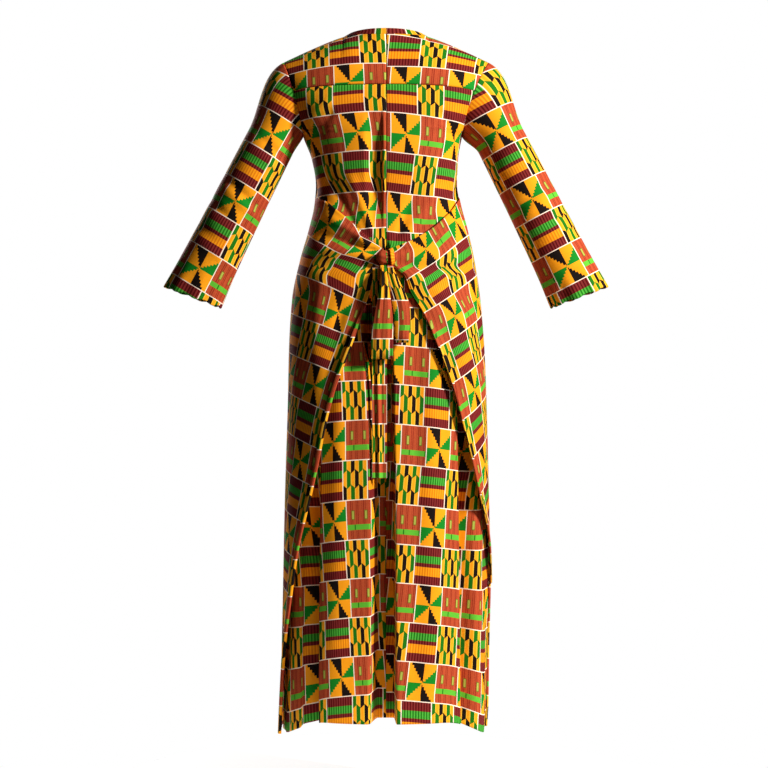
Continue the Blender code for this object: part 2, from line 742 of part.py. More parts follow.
def make_tail():
    """The free end of the tie, which hangs from under the knot with a soft ridge down its middle."""
    rows = []
    leaves_y = back_depth(TAIL_LEAVES) + TAIL_OVER
    for i in range(TAIL_ROWS + 1):
        down = TAIL_TOP + (TAIL_END - TAIL_TOP) * i / TAIL_ROWS
        y = back_depth(down) + TAIL_OVER
        if down > TAIL_LEAVES:
            y = leaves_y + (TAIL_END_Y - leaves_y) * (down - TAIL_LEAVES) / (TAIL_END - TAIL_LEAVES)
        row = []
        for across in (-1, -0.5, 0, 0.5, 1):
            x = TAIL_CENTRE + across * TAIL_WIDTH / 2
            level = below_knot(x, KNOT_CENTRE.y) if i == 0 else down
            row.append(Vector((x, y + TAIL_RIDGE * (1 - abs(across)), -level)))
        rows.append(row)
    return cloth("tie_tail", [rows], lambda p: Vector((0, 1, 0)), "kente_green")


clear_scene()
parts = bpy.data.collections.new(COLLECTION)
bpy.context.scene.collection.children.link(parts)
make_front()
for hand, word in ((1, "left"), (-1, "right")):
    make_yoke(hand, "yoke_" + word)
    make_back(hand, "back_" + word)
    make_sleeve(hand, "sleeve_" + word)
make_neck_band()
make_knot()
make_loop("bow_loop_left", LEFT_LOOP)
make_loop("bow_loop_right", RIGHT_LOOP)
make_tail()
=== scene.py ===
"""The visual model of a long-sleeved dashiki maxi dress in kente-print cotton, tied at the centre back.

Metres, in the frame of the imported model: the front faces -Y and the wearer's left side is at +X.
"down" is the distance below the origin, and degrees go round the body from the centre back.
"""

import math

import bmesh
import bpy
import numpy as np
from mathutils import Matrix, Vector


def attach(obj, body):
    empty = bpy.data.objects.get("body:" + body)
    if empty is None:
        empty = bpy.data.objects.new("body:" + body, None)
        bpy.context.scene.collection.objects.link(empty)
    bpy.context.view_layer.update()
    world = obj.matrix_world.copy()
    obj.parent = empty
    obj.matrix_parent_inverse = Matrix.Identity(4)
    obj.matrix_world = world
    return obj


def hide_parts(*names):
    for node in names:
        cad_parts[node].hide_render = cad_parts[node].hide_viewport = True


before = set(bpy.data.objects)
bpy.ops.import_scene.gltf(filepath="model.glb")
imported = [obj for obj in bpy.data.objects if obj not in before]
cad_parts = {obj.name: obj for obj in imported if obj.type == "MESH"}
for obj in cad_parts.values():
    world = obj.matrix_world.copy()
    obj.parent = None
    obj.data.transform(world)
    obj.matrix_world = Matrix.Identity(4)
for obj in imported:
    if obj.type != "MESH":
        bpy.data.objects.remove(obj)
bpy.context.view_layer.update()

# The form: the same tables as the CAD source
# down, left reach, right reach, depth at the back, depth at the front
SECTIONS = [
    (0.108, 0.178, 0.169, 0.095, 0.098),
    (0.135, 0.178, 0.169, 0.098, 0.110),
    (0.195, 0.163, 0.150, 0.099, 0.119),
    (0.240, 0.146, 0.142, 0.094, 0.117),
    (0.290, 0.138, 0.140, 0.086, 0.108),
    (0.329, 0.141, 0.147, 0.084, 0.102),
    (0.378, 0.152, 0.160, 0.090, 0.100),
    (0.437, 0.169, 0.173, 0.101, 0.104),
    (0.516, 0.185, 0.185, 0.117, 0.111),
    (0.615, 0.191, 0.193, 0.128, 0.120),
    (0.713, 0.193, 0.197, 0.134, 0.127),
    (0.910, 0.199, 0.202, 0.143, 0.139),
    (1.107, 0.203, 0.206, 0.151, 0.149),
    (1.304, 0.207, 0.206, 0.157, 0.158),
    (1.362, 0.208, 0.204, 0.158, 0.161),
]
SQUARE = 0.12
SHOULDER_DOWN, UNDERARM_DOWN = 0.050, 0.195
ARM_TOP_X = 0.203
ARM_MIDDLE_X = {1: 0.178, -1: 0.169}
ARM_BOTTOM_X = {1: 0.163, -1: 0.150}
ARM_DEPTH = 0.058
YOKE_ANGLE, CHEST_ANGLE = 84, 100
TURNS = [(0.050, 60), (0.108, 60), (0.135, 62), (0.159, 68), (0.178, 76), (0.191, 85), (0.195, 90)]
NECK_HALF, NECK_SIDE_UP = 0.082, 0.002
BACK_NECK_Y, BACK_NECK_DOWN = 0.055, 0.001
FRONT_NECK_Y, FRONT_NECK_DOWN = -0.080, 0.075
NECK_SHARE = 0.42
YOKE_DOWN, YOKE_SIDE_DROP = 0.108, 0.007
WAIST_ROW, TIE_LEVEL, HEM_DOWN = 0.315, 0.424, 1.362
BACK_HEM_RISE, FRONT_HEM_RISE, HEM_BLEND_DOWN = 0.040, 0.004, 0.90
# down, left, right: the wrap's free edges, from the centre back line
WRAP_EDGES = [
    (0.327, 0.118, 0.139),
    (0.344, 0.097, 0.128),
    (0.361, 0.077, 0.112),
    (0.385, 0.051, 0.085),
    (0.405, 0.030, 0.052),
    (0.424, 0.006, 0.006),
    (0.452, 0.006, 0.010),
    (0.475, 0.022, 0.036),
    (0.505, 0.031, 0.047),
    (0.545, 0.045, 0.071),
    (0.615, 0.068, 0.099),
    (0.690, 0.094, 0.125),
    (0.760, 0.112, 0.143),
    (0.830, 0.125, 0.161),
    (0.900, 0.140, 0.178),
]
# down, left degrees, right degrees
WRAP_HEM_ANGLES = [(1.000, 51.0, 80.0), (1.100, 59.0, 92.0), (1.200, 68.0, 98.0), (1.362, 78.0, 101.0)]
SIDE_ANGLES = [(0.0, 90.0, 90.0), (0.80, 90.0, 90.0), (1.362, 97.0, 104.0)]
WRAP_LIFT = 0.006
BACK_INSET = [(0.268, 0.0), (WAIST_ROW, 0.0050), (0.360, 0.0060), (0.450, 0.0085), (0.560, 0.0110)]
SIDE_INSET, SIDE_INSET_DEGREES = 0.0032, 12
# down, trough left lip, trough right lip, depth, left lobe lip, its depth, right lobe lip, depth
FOLDS = [
    (0.150, 0.046, 0.0045, 0.000, 0.120, 0.000, 0.120, 0.000),
    (0.235, 0.044, 0.0045, 0.010, 0.118, 0.000, 0.120, 0.000),
    (0.300, 0.044, 0.0045, 0.011, 0.118, 0.000, 0.120, 0.000),
    (0.385, 0.042, 0.0045, 0.001, 0.118, 0.000, 0.120, 0.000),
    (0.405, 0.042, -0.0080, 0.001, 0.118, 0.000, 0.124, 0.000),
    (0.430, 0.046, -0.0090, 0.012, 0.120, 0.000, 0.128, 0.000),
    (0.505, 0.060, -0.0110, 0.036, 0.124, 0.006, 0.136, 0.006),
    (0.713, 0.040, -0.0170, 0.050, 0.130, 0.022, 0.143, 0.030),
    (0.950, 0.033, -0.0200, 0.058, 0.132, 0.034, 0.146, 0.042),
    (1.362, 0.036, -0.0215, 0.064, 0.134, 0.040, 0.149, 0.040),
]
TROUGH_LEFT_FLANK, TROUGH_RIGHT_FLANK = 0.020, 0.006
LOBE_FLANK, LOBE_RETURN = 0.010, 0.036
FRONT_FLUTES, FLUTE_DEPTH = 3, 0.007
SLEEVE_AXIS = np.array((0.462, 0.0, -0.887))
BICEPS_CENTRE = np.array((0.2265, 0.0, -0.204))
BICEPS_HALF_WIDTH, BICEPS_HALF_DEPTH = 0.049, 0.054
CUFF_CENTRE = np.array((0.381, -0.035, -0.500))
CUFF_HALF_WIDTH, CUFF_HALF_DEPTH = 0.056, 0.050
CUFF_WAVES, CUFF_WAVE, CUFF_SCALLOP = 9, 0.0016, 0.0020

BAND_HEIGHT, BAND_GAP = 0.009, 0.0009
KNOT_CENTRE, KNOT_HALF = np.array((-0.001, 0.1126, -0.441)), np.array((0.020, 0.0115, 0.0145))
# down, y: the middle of a loop's band from the knot down, round and back up
LOOP_ROUTE = [
    (0.4560, 0.1185),
    (0.470, 0.1310),
    (0.495, 0.1400),
    (0.545, 0.1460),
    (0.590, 0.1460),
    (0.620, 0.1430),
    (0.634, 0.1380),
    (0.629, 0.1315),
    (0.600, 0.1275),
    (0.550, 0.1245),
    (0.500, 0.1220),
    (0.475, 0.1190),
    (0.4560, 0.1140),
]
LOOP_END = 0.634
LEFT_LOOP = {
    "lower": -0.001,
    "wider": (0.003, 0.001),
    "moved": (-0.002, -0.0015),
    "top_x": 0.0050,
    "end_x": 0.0095,
    "top_width": 0.011,
    "end_width": 0.038,
    "end": 0.634,
    "print": (0.0665, 0.1205),
    "pleats": [(0.55, 0.16, 0.0016), (0.1, 0.14, -0.0015), (-0.45, 0.2, 0.0012)],
}
RIGHT_LOOP = {
    "lower": 0.007,
    "wider": (0.004, 0.010),
    "moved": (0.0, -0.006),
    "top_x": -0.0080,
    "end_x": -0.0290,
    "top_width": 0.011,
    "end_width": 0.022,
    "end": 0.603,
    "print": (0.0585, 0.0975),
    "pleats": [(0.4, 0.2, -0.0012), (-0.2, 0.2, 0.0014)],
}
LOOP_CROWN = 0.004
LOOP_MIDDLE_Y, LOOP_MIDDLE_Z = 0.134, -0.56
TAIL_WIDTH, TAIL_CENTRE = 0.028, 0.0125
TAIL_TOP, TAIL_LEAVES, TAIL_END, TAIL_END_Y = 0.458, 0.505, 0.860, 0.1300
TAIL_PRINT_DOWN = 0.6829
TAIL_OVER, TAIL_RIDGE = 0.0012, 0.0016

# The cloth
WALL = 0.0008
SEAM_ROLL, SEAM_WIDTH = 0.0011, 0.0022
BACK_TOP, BACK_TOP_ROWS, BACK_ROW_COUNT = 0.1345, 13, 300
BACK_SAMPLES, BACK_COLUMNS = 700, 130
WAIST_ROWS, FRONT_ROWS, FRONT_COLUMNS, WING_COLUMNS = 24, 160, 64, 56
SLEEVE_COLUMNS, BAND_COLUMNS = 168, 240

# The print, in metres of cut cloth
PITCH = 0.0755
REPEAT = 0.112
STRIPES = 0.0605
PINWHEEL_START, PINWHEEL = 0.0085, 0.0580
LINE = 0.0009
BAND_LENGTH, BAND_PRINT = 0.460, 3 * REPEAT


def smooth(value):
    t = np.clip(value, 0.0, 1.0)
    return t * t * (3 - 2 * t)


def curve(places, values, low=0.0, high=1.42, count=1421):
    """A smooth curve through the values, which never swings past them, as a function of arrays."""
    places, values = np.array(places, float), np.array(values, float)
    widths = np.diff(places)
    slopes = np.diff(values) / widths
    tangents = np.zeros(len(places))
    tangents[0], tangents[-1] = slopes[0], slopes[-1]
    for i in range(1, len(places) - 1):
        if slopes[i - 1] * slopes[i] > 0:
            tangents[i] = 2 / (1 / slopes[i - 1] + 1 / slopes[i])
    dense = np.linspace(low, high, count)
    inside = np.clip(dense, places[0], places[-1])
    i = np.clip(np.searchsorted(places, inside, side="right") - 1, 0, len(widths) - 1)
    t = (inside - places[i]) / widths[i]
    table = ((2 * t - 3) * t * t + 1) * values[i] + (3 - 2 * t) * t * t * values[i + 1]
    table += widths[i] * (((t - 2) * t + 1) * t * tangents[i] + (t - 1) * t * t * tangents[i + 1])
    return lambda place: np.interp(place, dense, table)


def columns(rows, **limits):
    places = [row[0] for row in rows]
    return [curve(places, [row[i] for row in rows], **limits) for i in range(1, len(rows[0]))]


left_reach, right_reach, back_depth, front_depth = columns(SECTIONS)
(turn_of,) = columns(TURNS)
(back_inset,) = columns(BACK_INSET)
left_side_angle, right_side_angle = columns(SIDE_ANGLES)
(left_lip, right_lip, trough_depth, left_lobe, left_lobe_depth, right_lobe, right_lobe_depth) = columns(FOLDS)


def stack(x, y, z):
    return np.stack(np.broadcast_arrays(x, y, z), axis=-1).astype(float)


def armhole(side, degrees, front=False):
    c, s = np.cos(np.radians(degrees)), np.sin(np.radians(degrees))
    middle, bottom = ARM_MIDDLE_X[side], ARM_BOTTOM_X[side]
    x = middle + (ARM_TOP_X - bottom) / 2 * c + ((ARM_TOP_X + bottom) / 2 - middle) * c * c
    down = (SHOULDER_DOWN + UNDERARM_DOWN) / 2 - (UNDERARM_DOWN - SHOULDER_DOWN) / 2 * c
    return stack(side * x, (-1 if front else 1) * ARM_DEPTH * s, -down)


def armhole_angle(down):
    middle, half = (SHOULDER_DOWN + UNDERARM_DOWN) / 2, (UNDERARM_DOWN - SHOULDER_DOWN) / 2
    return np.degrees(np.arccos(np.clip((middle - down) / half, -1, 1)))


def across_of(angle):
    return np.sin(angle) * (1 + SQUARE * np.cos(angle) ** 2)


def along_of(angle):
    return np.cos(angle) * (1 + SQUARE * np.sin(angle) ** 2)


def section(side, degrees, down, inset=0.0):
    """x and y of points round the body: 0 degrees is the centre back, 90 the side and 180 the front."""
    degrees, down, inset = np.broadcast_arrays(degrees, down, inset)
    front = degrees > 90
    turned = np.radians(np.where(front, 180 - degrees, degrees))
    depth = np.where(front, front_depth(down), back_depth(down)) - inset
    above = down < UNDERARM_DOWN - 1e-6
    edge = armhole(side, armhole_angle(down))
    reach = (left_reach if side > 0 else right_reach)(down)
    reach = np.where(above, np.abs(edge[..., 0]), reach) - inset
    edge_y = np.where(above, edge[..., 1], 0.0)
    last = np.where(above, np.radians(turn_of(down)), math.pi / 2)
    turned = turned * last / (math.pi / 2)
    x = reach * across_of(turned) / across_of(last)
    y = edge_y + (depth - edge_y) * (along_of(turned) - along_of(last)) / (1 - along_of(last))
    return side * x, np.where(front, -y, y)


def side_angle(side, down):
    return (left_side_angle if side > 0 else right_side_angle)(down)


def angle_at(side, x, down):
    degrees = np.linspace(0, 90, 361)
    return float(np.interp(x, np.abs(section(side, degrees, down)[0]), degrees))


def wrap_curves(side):
    """The wrap's free edge in degrees over the level, and the level of its top edge over the degrees."""
    column = 1 if side > 0 else 2
    first = (WAIST_ROW, float(side_angle(side, WAIST_ROW)))
    rows = [first] + [(row[0], angle_at(side, row[column], row[0])) for row in WRAP_EDGES]
    tops = sorted((degrees, down) for down, degrees in rows if down <= TIE_LEVEL)
    rows += [(row[0], row[column]) for row in WRAP_HEM_ANGLES]
    (edge,) = columns(rows)
    (top,) = columns(tops, low=0.0, high=90.0)
    return edge, top


def neckline(side, degrees):
    s, c = np.sin(np.radians(degrees)), np.cos(np.radians(degrees))
    behind = np.asarray(degrees) <= 90
    y = np.where(behind, BACK_NECK_Y * c, FRONT_NECK_Y * -c)
    drop = np.where(behind, (BACK_NECK_DOWN + NECK_SIDE_UP) * c, (FRONT_NECK_DOWN + NECK_SIDE_UP) * -c)
    return stack(side * NECK_HALF * s, y, NECK_SIDE_UP - drop)


def top_edge(side, share, front):
    """The edge along the neckline and then the shoulder, and the cloth's pull there."""
    forward = 1 if front else -1
    turn = 90 * np.minimum(share / NECK_SHARE, 1)
    neck = neckline(side, 180 - turn if front else turn)
    lean = smooth(share / NECK_SHARE)
    along_edge = np.clip((share - NECK_SHARE) / (1 - NECK_SHARE), 0, 1)
    x = NECK_HALF + (ARM_TOP_X - NECK_HALF) * along_edge
    down = -NECK_SIDE_UP + (SHOULDER_DOWN + NECK_SIDE_UP) * along_edge**1.15
    shoulder = stack(side * x, 0.0, -down)
    on_neck = (share < NECK_SHARE)[..., None]
    pull = np.where(
        on_neck, stack(0.0, forward * (0.35 + 0.65 * lean), 1 - 0.8 * lean), stack(0.0, forward, 0.12 + 0 * share)
    )
    return np.where(on_neck, neck, shoulder), pull / np.linalg.norm(pull, axis=-1, keepdims=True)


def hermite(start, end, start_pull, end_pull, t):
    t = np.asarray(t)[..., None]
    a, b = (2 * t - 3) * t * t + 1, (3 - 2 * t) * t * t
    return start * a + end * b + start_pull * (((t - 2) * t + 1) * t) + end_pull * ((t - 1) * t * t)


def yoke_down(share):
    """The level of the yoke's seam over the share of the way from the centre back to the armhole."""
    end = -armhole(1, YOKE_ANGLE)[..., 2]
    return YOKE_DOWN + (end - YOKE_DOWN) * np.asarray(share) ** 2


def upper_patch(side, shares, steps, front):
    """The cloth between the chest or the yoke's seam, step 0, and the top edge, step 1."""
    share, v = np.meshgrid(shares, steps)
    base_angle = CHEST_ANGLE if front else YOKE_ANGLE
    base_down = -armhole(side, base_angle)[..., 2] if front else yoke_down(share)
    x, y = section(side, 180 - 90 * share - 1e-4 if front else 90 * share, base_down)
    start = stack(x, y, -base_down + 0 * x)
    end, pull = top_edge(side, share, front)
    length = np.linalg.norm(end - start, axis=-1, keepdims=True)
    up = np.array((0.0, 0.0, 1.0))
    points = hermite(start, end, up * length, pull * length, v)
    edge = armhole(side, base_angle * (1 - v), front)
    last_start = armhole(side, base_angle, front)
    last_end, last_pull = top_edge(side, np.ones(1), front)
    span = float(np.linalg.norm(last_end[0] - last_start))
    last = hermite(last_start, last_end[0], up * span, last_pull[0] * span, v)
    return points + (edge - last) * (share**6)[..., None]


def hem_lean(down, rise):
    share = np.maximum(down - HEM_BLEND_DOWN, 0) / (HEM_DOWN - HEM_BLEND_DOWN)
    return rise * share**1.5


def spaced_by_length(rows, count, power=1.0):
    """Each row of points again, evenly spaced along its own length, and the lengths to them."""
    made, lengths = [], []
    for row in rows:
        steps = np.linalg.norm(np.diff(row, axis=0), axis=1)
        run = np.concatenate([[0], np.cumsum(steps)])
        wanted = run[-1] * np.linspace(0, 1, count) ** power
        made.append(np.stack([np.interp(wanted, run, row[:, k]) for k in range(3)], axis=1))
        lengths.append(wanted)
    return np.array(made), np.array(lengths)


def run_down(points):
    """The length down each column of a grid of points."""
    steps = np.linalg.norm(np.diff(points, axis=0), axis=2)
    return np.concatenate([np.zeros((1, points.shape[1])), np.cumsum(steps, axis=0)])


# The pieces


def placed(name, data):
    """A new object in the scene."""
    made = bpy.data.objects.new(name, data)
    bpy.context.scene.collection.objects.link(made)
    return made


def cut_places(u, v):
    return np.stack(np.broadcast_arrays(u, v), axis=-1)


def mesh_object(name, grids, outward, wall=WALL, turn_u=None):
    """One surface from grids of points with their places on the cut cloth.

    With turn_u, the length of cut cloth once round, each row closes to a ring.
    """
    closed = turn_u is not None
    points = np.concatenate([grid[0].reshape(-1, 3) for grid in grids])
    cut = np.concatenate([grid[1].reshape(-1, 2) for grid in grids])
    faces, first = [], 0
    for grid_points, _ in grids:
        rows, count = grid_points.shape[:2]
        index = first + np.arange(rows * count).reshape(rows, count)
        if closed:
            index = np.concatenate([index, index[:, :1]], axis=1)
        quads = np.stack([index[:-1, :-1], index[1:, :-1], index[1:, 1:], index[:-1, 1:]], axis=-1)
        faces.append(quads.reshape(-1, 4))
        first += rows * count
    faces = np.concatenate(faces)
    corners = points[faces]
    normal = np.cross(corners[:, 2] - corners[:, 0], corners[:, 3] - corners[:, 1])
    middle = corners.mean(axis=1)
    if (normal * outward(middle)).sum() < 0:
        faces = faces[:, ::-1]
    data = bpy.data.meshes.new(name)
    data.from_pydata(points.tolist(), [], faces.tolist())
    layer = data.uv_layers.new(name="cut")
    order = np.empty(len(data.loops), np.int32)
    data.loops.foreach_get("vertex_index", order)
    places = cut[order]
    if closed:
        wrap_seam(places, faces, turn_u)
    layer.uv.foreach_set("vector", places.astype(np.float32).ravel())
    mesh = bmesh.new()
    mesh.from_mesh(data)
    bmesh.ops.remove_doubles(mesh, verts=mesh.verts, dist=2e-6)
    bmesh.ops.dissolve_degenerate(mesh, edges=mesh.edges, dist=1e-6)
    mesh.to_mesh(data)
    mesh.free()
    data.shade_smooth()
    made = placed(name, data)
    if wall:
        layer = made.modifiers.new("wall", "SOLIDIFY")
        layer.thickness = wall
        layer.offset = -1
    return made


def wrap_seam(places, faces, turn_u):
    """Where a closed row's last faces reach back to its first column, their cut runs on instead."""
    by_face = places.reshape(len(faces), 4, 2)
    far = by_face[:, :, 0].max(axis=1) - by_face[:, :, 0].min(axis=1) > 0.10
    for k in range(4):
        low = far & (by_face[:, k, 0] < by_face[:, :, 0].mean(axis=1))
        by_face[low, k, 0] += turn_u


def seam_roll(points, distance, inward):
    """Turns the cloth in towards a seam: distance is that from the seam, for each point."""
    return points + inward * (SEAM_ROLL * np.exp(-((distance / SEAM_WIDTH) ** 2)))[..., None]


def grid_normals(points, outward):
    down = np.gradient(points, axis=0)
    over = np.gradient(points, axis=1)
    normal = np.cross(down, over)
    normal /= np.maximum(np.linalg.norm(normal, axis=-1, keepdims=True), 1e-12)
    flip = np.sign((normal * outward).sum(axis=-1, keepdims=True))
    return normal * np.where(flip == 0, 1, flip)


def waves(points, pieces):
    """The sum of soft ridges and troughs, each a line from one place to another with a width and height."""
    total = np.zeros(points.shape[:-1])
    for start, end, width, height in pieces:
        start, end = np.array(start), np.array(end)
        line = end - start
        length = np.linalg.norm(line)
        rel = points[..., [0, 2]] - start
        share = (rel @ line) / length**2
        off = (rel[..., 0] * line[1] - rel[..., 1] * line[0]) / length
        fade = smooth(share / 0.25) * smooth((1 - share) / 0.25)
        spread = width * (0.6 + 0.8 * np.clip(share, 0, 1))
        total += height * np.exp(-((off / spread) ** 2)) * fade
    return total


def body_outward(points):
    return np.concatenate([points[..., :2], np.zeros(points.shape[:-1] + (1,))], axis=-1)


def fold_at(side, x, down):
    signed = side * x
    left, right = left_lip(down), right_lip(down)
    trough = trough_depth(down) * smooth((left - signed) / TROUGH_LEFT_FLANK)
    trough = trough * smooth((signed - right) / TROUGH_RIGHT_FLANK)
    lip = (left_lobe if side > 0 else right_lobe)(down)
    depth = (left_lobe_depth if side > 0 else right_lobe_depth)(down)
    beyond = x - lip
    lobe = depth * smooth(beyond / LOBE_FLANK) * (1 - smooth((beyond - LOBE_FLANK) / LOBE_RETURN))
    return trough, lobe


# How far the print lies from the plain unrolled cloth, in millimetres, at these distances from the
# centre back seam: along the row of the print, then down it. These tables and the yokes', the wrap's
# and the sleeves' below are rounded from offsets that a measuring script printed for places read off
# the photo
BACK_STATIONS = (0.0, 0.05, 0.10, 0.16, 0.20)
BACK_ALONG = {
    1: [
        (0.108, (105, 104, 102, 106, 108)),
        (0.139, (103, 103, 102, 106, 108)),
        (0.197, (99, 98, 96, 94, 92)),
        (0.270, (108, 99, 89, 86, 84)),
        (0.336, (104, 70, 54, 46, 44)),
        (0.430, (96, 78, 62, 54, 50)),
        (0.600, (86, 80, 68, 60, 55)),
        (0.700, (80, 77, 68, 60, 52)),
        (0.900, (80, 78, 73, 64, 50)),
        (1.100, (78, 77, 68, 53, 38)),
        (1.300, (66, 66, 60, 50, 38)),
    ],
    -1: [
        (0.108, (1, 1, 0, 0, 0)),
        (0.195, (-1, 0, 0, 1, 1)),
        (0.270, (-1, 8, 12, 15, 16)),
        (0.336, (6, 16, 21, 24, 26)),
        (0.430, (6, 10, 14, 18, 20)),
        (0.600, (-9, -9, -8, 4, 10)),
        (0.800, (-10, -10, -9, 3, 12)),
        (0.900, (-5, -5, -4, 9, 18)),
        (1.027, (0, 0, 2, 14, 24)),
        (1.174, (14, 14, 15, 20, 31)),
        (1.300, (25, 25, 26, 30, 36)),
    ],
}
BACK_DOWN = {
    1: [
        (0.165, (0, 0, -4, -9, -11)),
        (0.240, (2, 3, -1, -3, -4)),
        (0.313, (0, 1, -2, -4, -5)),
        (0.383, (10, 7, 3, 0, -2)),
        (0.600, (10, 10, 9, 5, 0)),
        (0.830, (13, 13, 11, 4, -3)),
        (1.362, (14, 14, 12, 3, -6)),
    ],
    -1: [
        (0.165, (-1, -4, -11, -16, -17)),
        (0.240, (0, -4, -10, -10, -11)),
        (0.313, (1, -5, -9, -11, -12)),
        (0.390, (3, -1, -1, -2, -4)),
        (0.600, (3, 3, 0, -8, -12)),
        (0.830, (6, 5, 1, -6, -12)),
        (1.362, (6, 5, 1, -6, -12)),
    ],
}
# distance below the origin at the centre back, and how many rows of the print are above it
BACK_ROWS = [
    (0.086, 0.0),
    (0.1613, 1.0),
    (0.2366, 2.0),
    (0.3119, 3.0),
    (0.3913, 4.0),
    (0.5365, 6.0),
    (0.6854, 8.0),
    (0.8366, 10.0),
    (0.9868, 12.0),
    (1.1324, 14.0),
    (1.2788, 16.0),
    (1.42, 17.9),
]


def drift(table, levels, run):
    """The print's offset, in metres, for each row's level and each point's distance from the seam."""
    places = [row[0] for row in table]
    found = np.stack([curve(places, [row[1][k] for row in table])(levels) for k in range(5)])
    bends = np.polyfit(BACK_STATIONS, found, 3)
    reach = np.clip(run, 0, 0.21)
    cubic, square, slope, start = (bend[:, None] for bend in bends)
    return (((cubic * reach + square) * reach + slope) * reach + start) / 1000


def make_back(side, name):
    top_count = BACK_TOP_ROWS
    levels = np.concatenate([np.zeros(top_count), np.linspace(BACK_TOP, HEM_DOWN, BACK_ROW_COUNT)])
    shares = np.linspace(0, 1, BACK_SAMPLES)
    rows = []
    for k, level in enumerate(levels):
        side_degrees = float(side_angle(side, level if k >= top_count else 0.12))
        turn = shares * side_degrees
        if k < top_count:
            seam = yoke_down(shares)
            down = seam + (BACK_TOP - seam) * k / top_count
        else:
            down = np.full_like(shares, level)
        x0 = np.abs(section(side, turn, down)[0])
        near_side = 1 - smooth((side_degrees - turn) / SIDE_INSET_DEGREES)
        full = back_inset(down)
        inset = full + (np.minimum(full, SIDE_INSET) - full) * near_side
        x, y = section(side, turn, down, inset)
        hem_share = 1 - smooth((turn - 30) / 55)
        z = -down + hem_lean(down, BACK_HEM_RISE * hem_share)
        trough, lobe = fold_at(side, x0, down)
        y = y - trough - lobe * 0.9
        x = x - side * lobe * 0.55 * np.sin(np.radians(turn))
        rows.append(np.stack([x, y, z], axis=1))
    points, run = spaced_by_length(rows, BACK_COLUMNS)
    level = np.concatenate([np.full(top_count, 0.12), levels[top_count:]])
    u = (-run if side > 0 else run) + drift(BACK_ALONG[side], level, run)
    places, counts = zip(*BACK_ROWS)
    centre_z = np.concatenate([-points[:top_count, 0, 2], levels[top_count:]])
    centre_z = centre_z - hem_lean(centre_z, BACK_HEM_RISE)
    v = np.interp(centre_z, places, counts)[:, None] * PITCH + drift(BACK_DOWN[side], level, run)
    inward = -grid_normals(points, body_outward(points))
    points = points - inward * waves(points, BACK_FOLDS[side])[..., None]
    points = seam_roll(points, np.minimum(run, run[:, -1:] - run), inward)
    points = seam_roll(points, run_down(points), inward)
    return mesh_object(name, [(points, cut_places(u, v))], body_outward)


# The yoke's print: rows above its seam, how far they drop at the armhole, and the places along them
YOKE_ROWS = {1: (1.57, 0.10), -1: (1.47, 0.0)}
YOKE_GATHER = {1: 0.03, -1: 0.055}
YOKE_ALONG = {1: (0.108, 0.006, 0.0), -1: (0.001, -0.008, -0.012)}


def make_yoke(side, name):
    points = upper_patch(side, np.linspace(0, 1, 70), np.linspace(0, 1, 46), front=False)[::-1]
    points, run = spaced_by_length(points, 70)
    depth = run_down(points)
    total = depth[-1:, :]
    wide, last = np.abs(points[..., 0]), abs(points[-1, -1, 0])
    out = np.interp(wide, np.abs(points[-1, :, 0]), run[-1]) + np.maximum(wide - last, 0) * 1.15
    up = (total - depth) / total
    base, rise, lean = YOKE_ALONG[side]
    u = (-out if side > 0 else out) + base + (rise + lean * out / 0.2) * up
    rows, drop = YOKE_ROWS[side]
    near = np.exp(-(((total - depth) / 0.022) ** 2))
    v = (rows - drop * (out / 0.2) ** 2 + YOKE_GATHER[side] * near) * PITCH + depth - total
    inward = -grid_normals(points, points - np.array((0, 0, -0.15)))
    points = seam_roll(points, np.minimum(run, run[:, -1:] - run), inward)
    points = seam_roll(points, np.minimum(depth, total - depth), inward)
    return mesh_object(name, [(points, cut_places(u, v))], lambda p: p - np.array((0, 0, -0.15)))


def front_arc_table():
    """The length round the body from the centre front, for each side, level and degree."""
    levels = np.arange(0.10, 1.40, 0.01)
    degrees = np.linspace(180, 0, 361)
    tables = {}
    for side in (1, -1):
        rows = []
        for level in levels:
            x, y = section(side, degrees, level)
            steps = np.hypot(np.diff(x), np.diff(y))
            steps[180] = 0 if level < UNDERARM_DOWN else steps[180]
            rows.append(np.concatenate([[0], np.cumsum(steps)]))
        tables[side] = np.array(rows)
    return levels, degrees, tables


ARC_LEVELS, ARC_DEGREES, ARC_TABLES = front_arc_table()


def front_arc(side, degrees, down):
    degrees, down = np.broadcast_arrays(degrees, down)
    table = ARC_TABLES[side]
    i = np.clip((down - ARC_LEVELS[0]) / 0.01, 0, len(ARC_LEVELS) - 1.001)
    j = np.clip((180 - degrees) * 2, 0, 359.999)
    i0, j0 = i.astype(int), j.astype(int)
    fi, fj = i - i0, j - j0
    upper = table[i0, j0] * (1 - fj) + table[i0, j0 + 1] * fj
    lower = table[i0 + 1, j0] * (1 - fj) + table[i0 + 1, j0 + 1] * fj
    return upper * (1 - fi) + lower * fi


# The wrap's print: how strongly its rows bend down towards the centre back, by the level
WRAP_BEND = {
    1: [(0.30, 3.4), (0.397, 3.1), (0.411, 2.45), (0.431, 1.95), (0.445, 1.35), (0.46, 1.2), (0.50, 1.12),
        (0.60, 0.92), (0.76, 0.92), (0.87, 0.80), (1.362, 0.60)],
    -1: [(0.30, 3.1), (0.416, 2.65), (0.440, 2.4), (0.462, 2.12), (0.48, 2.0), (0.50, 1.95), (0.58, 1.75),
         (0.62, 1.70), (0.75, 1.70), (0.82, 1.85), (0.87, 2.0), (1.362, 1.8)],
}
WRAP_STRAIGHT = {1: 0.40, -1: 0.35}
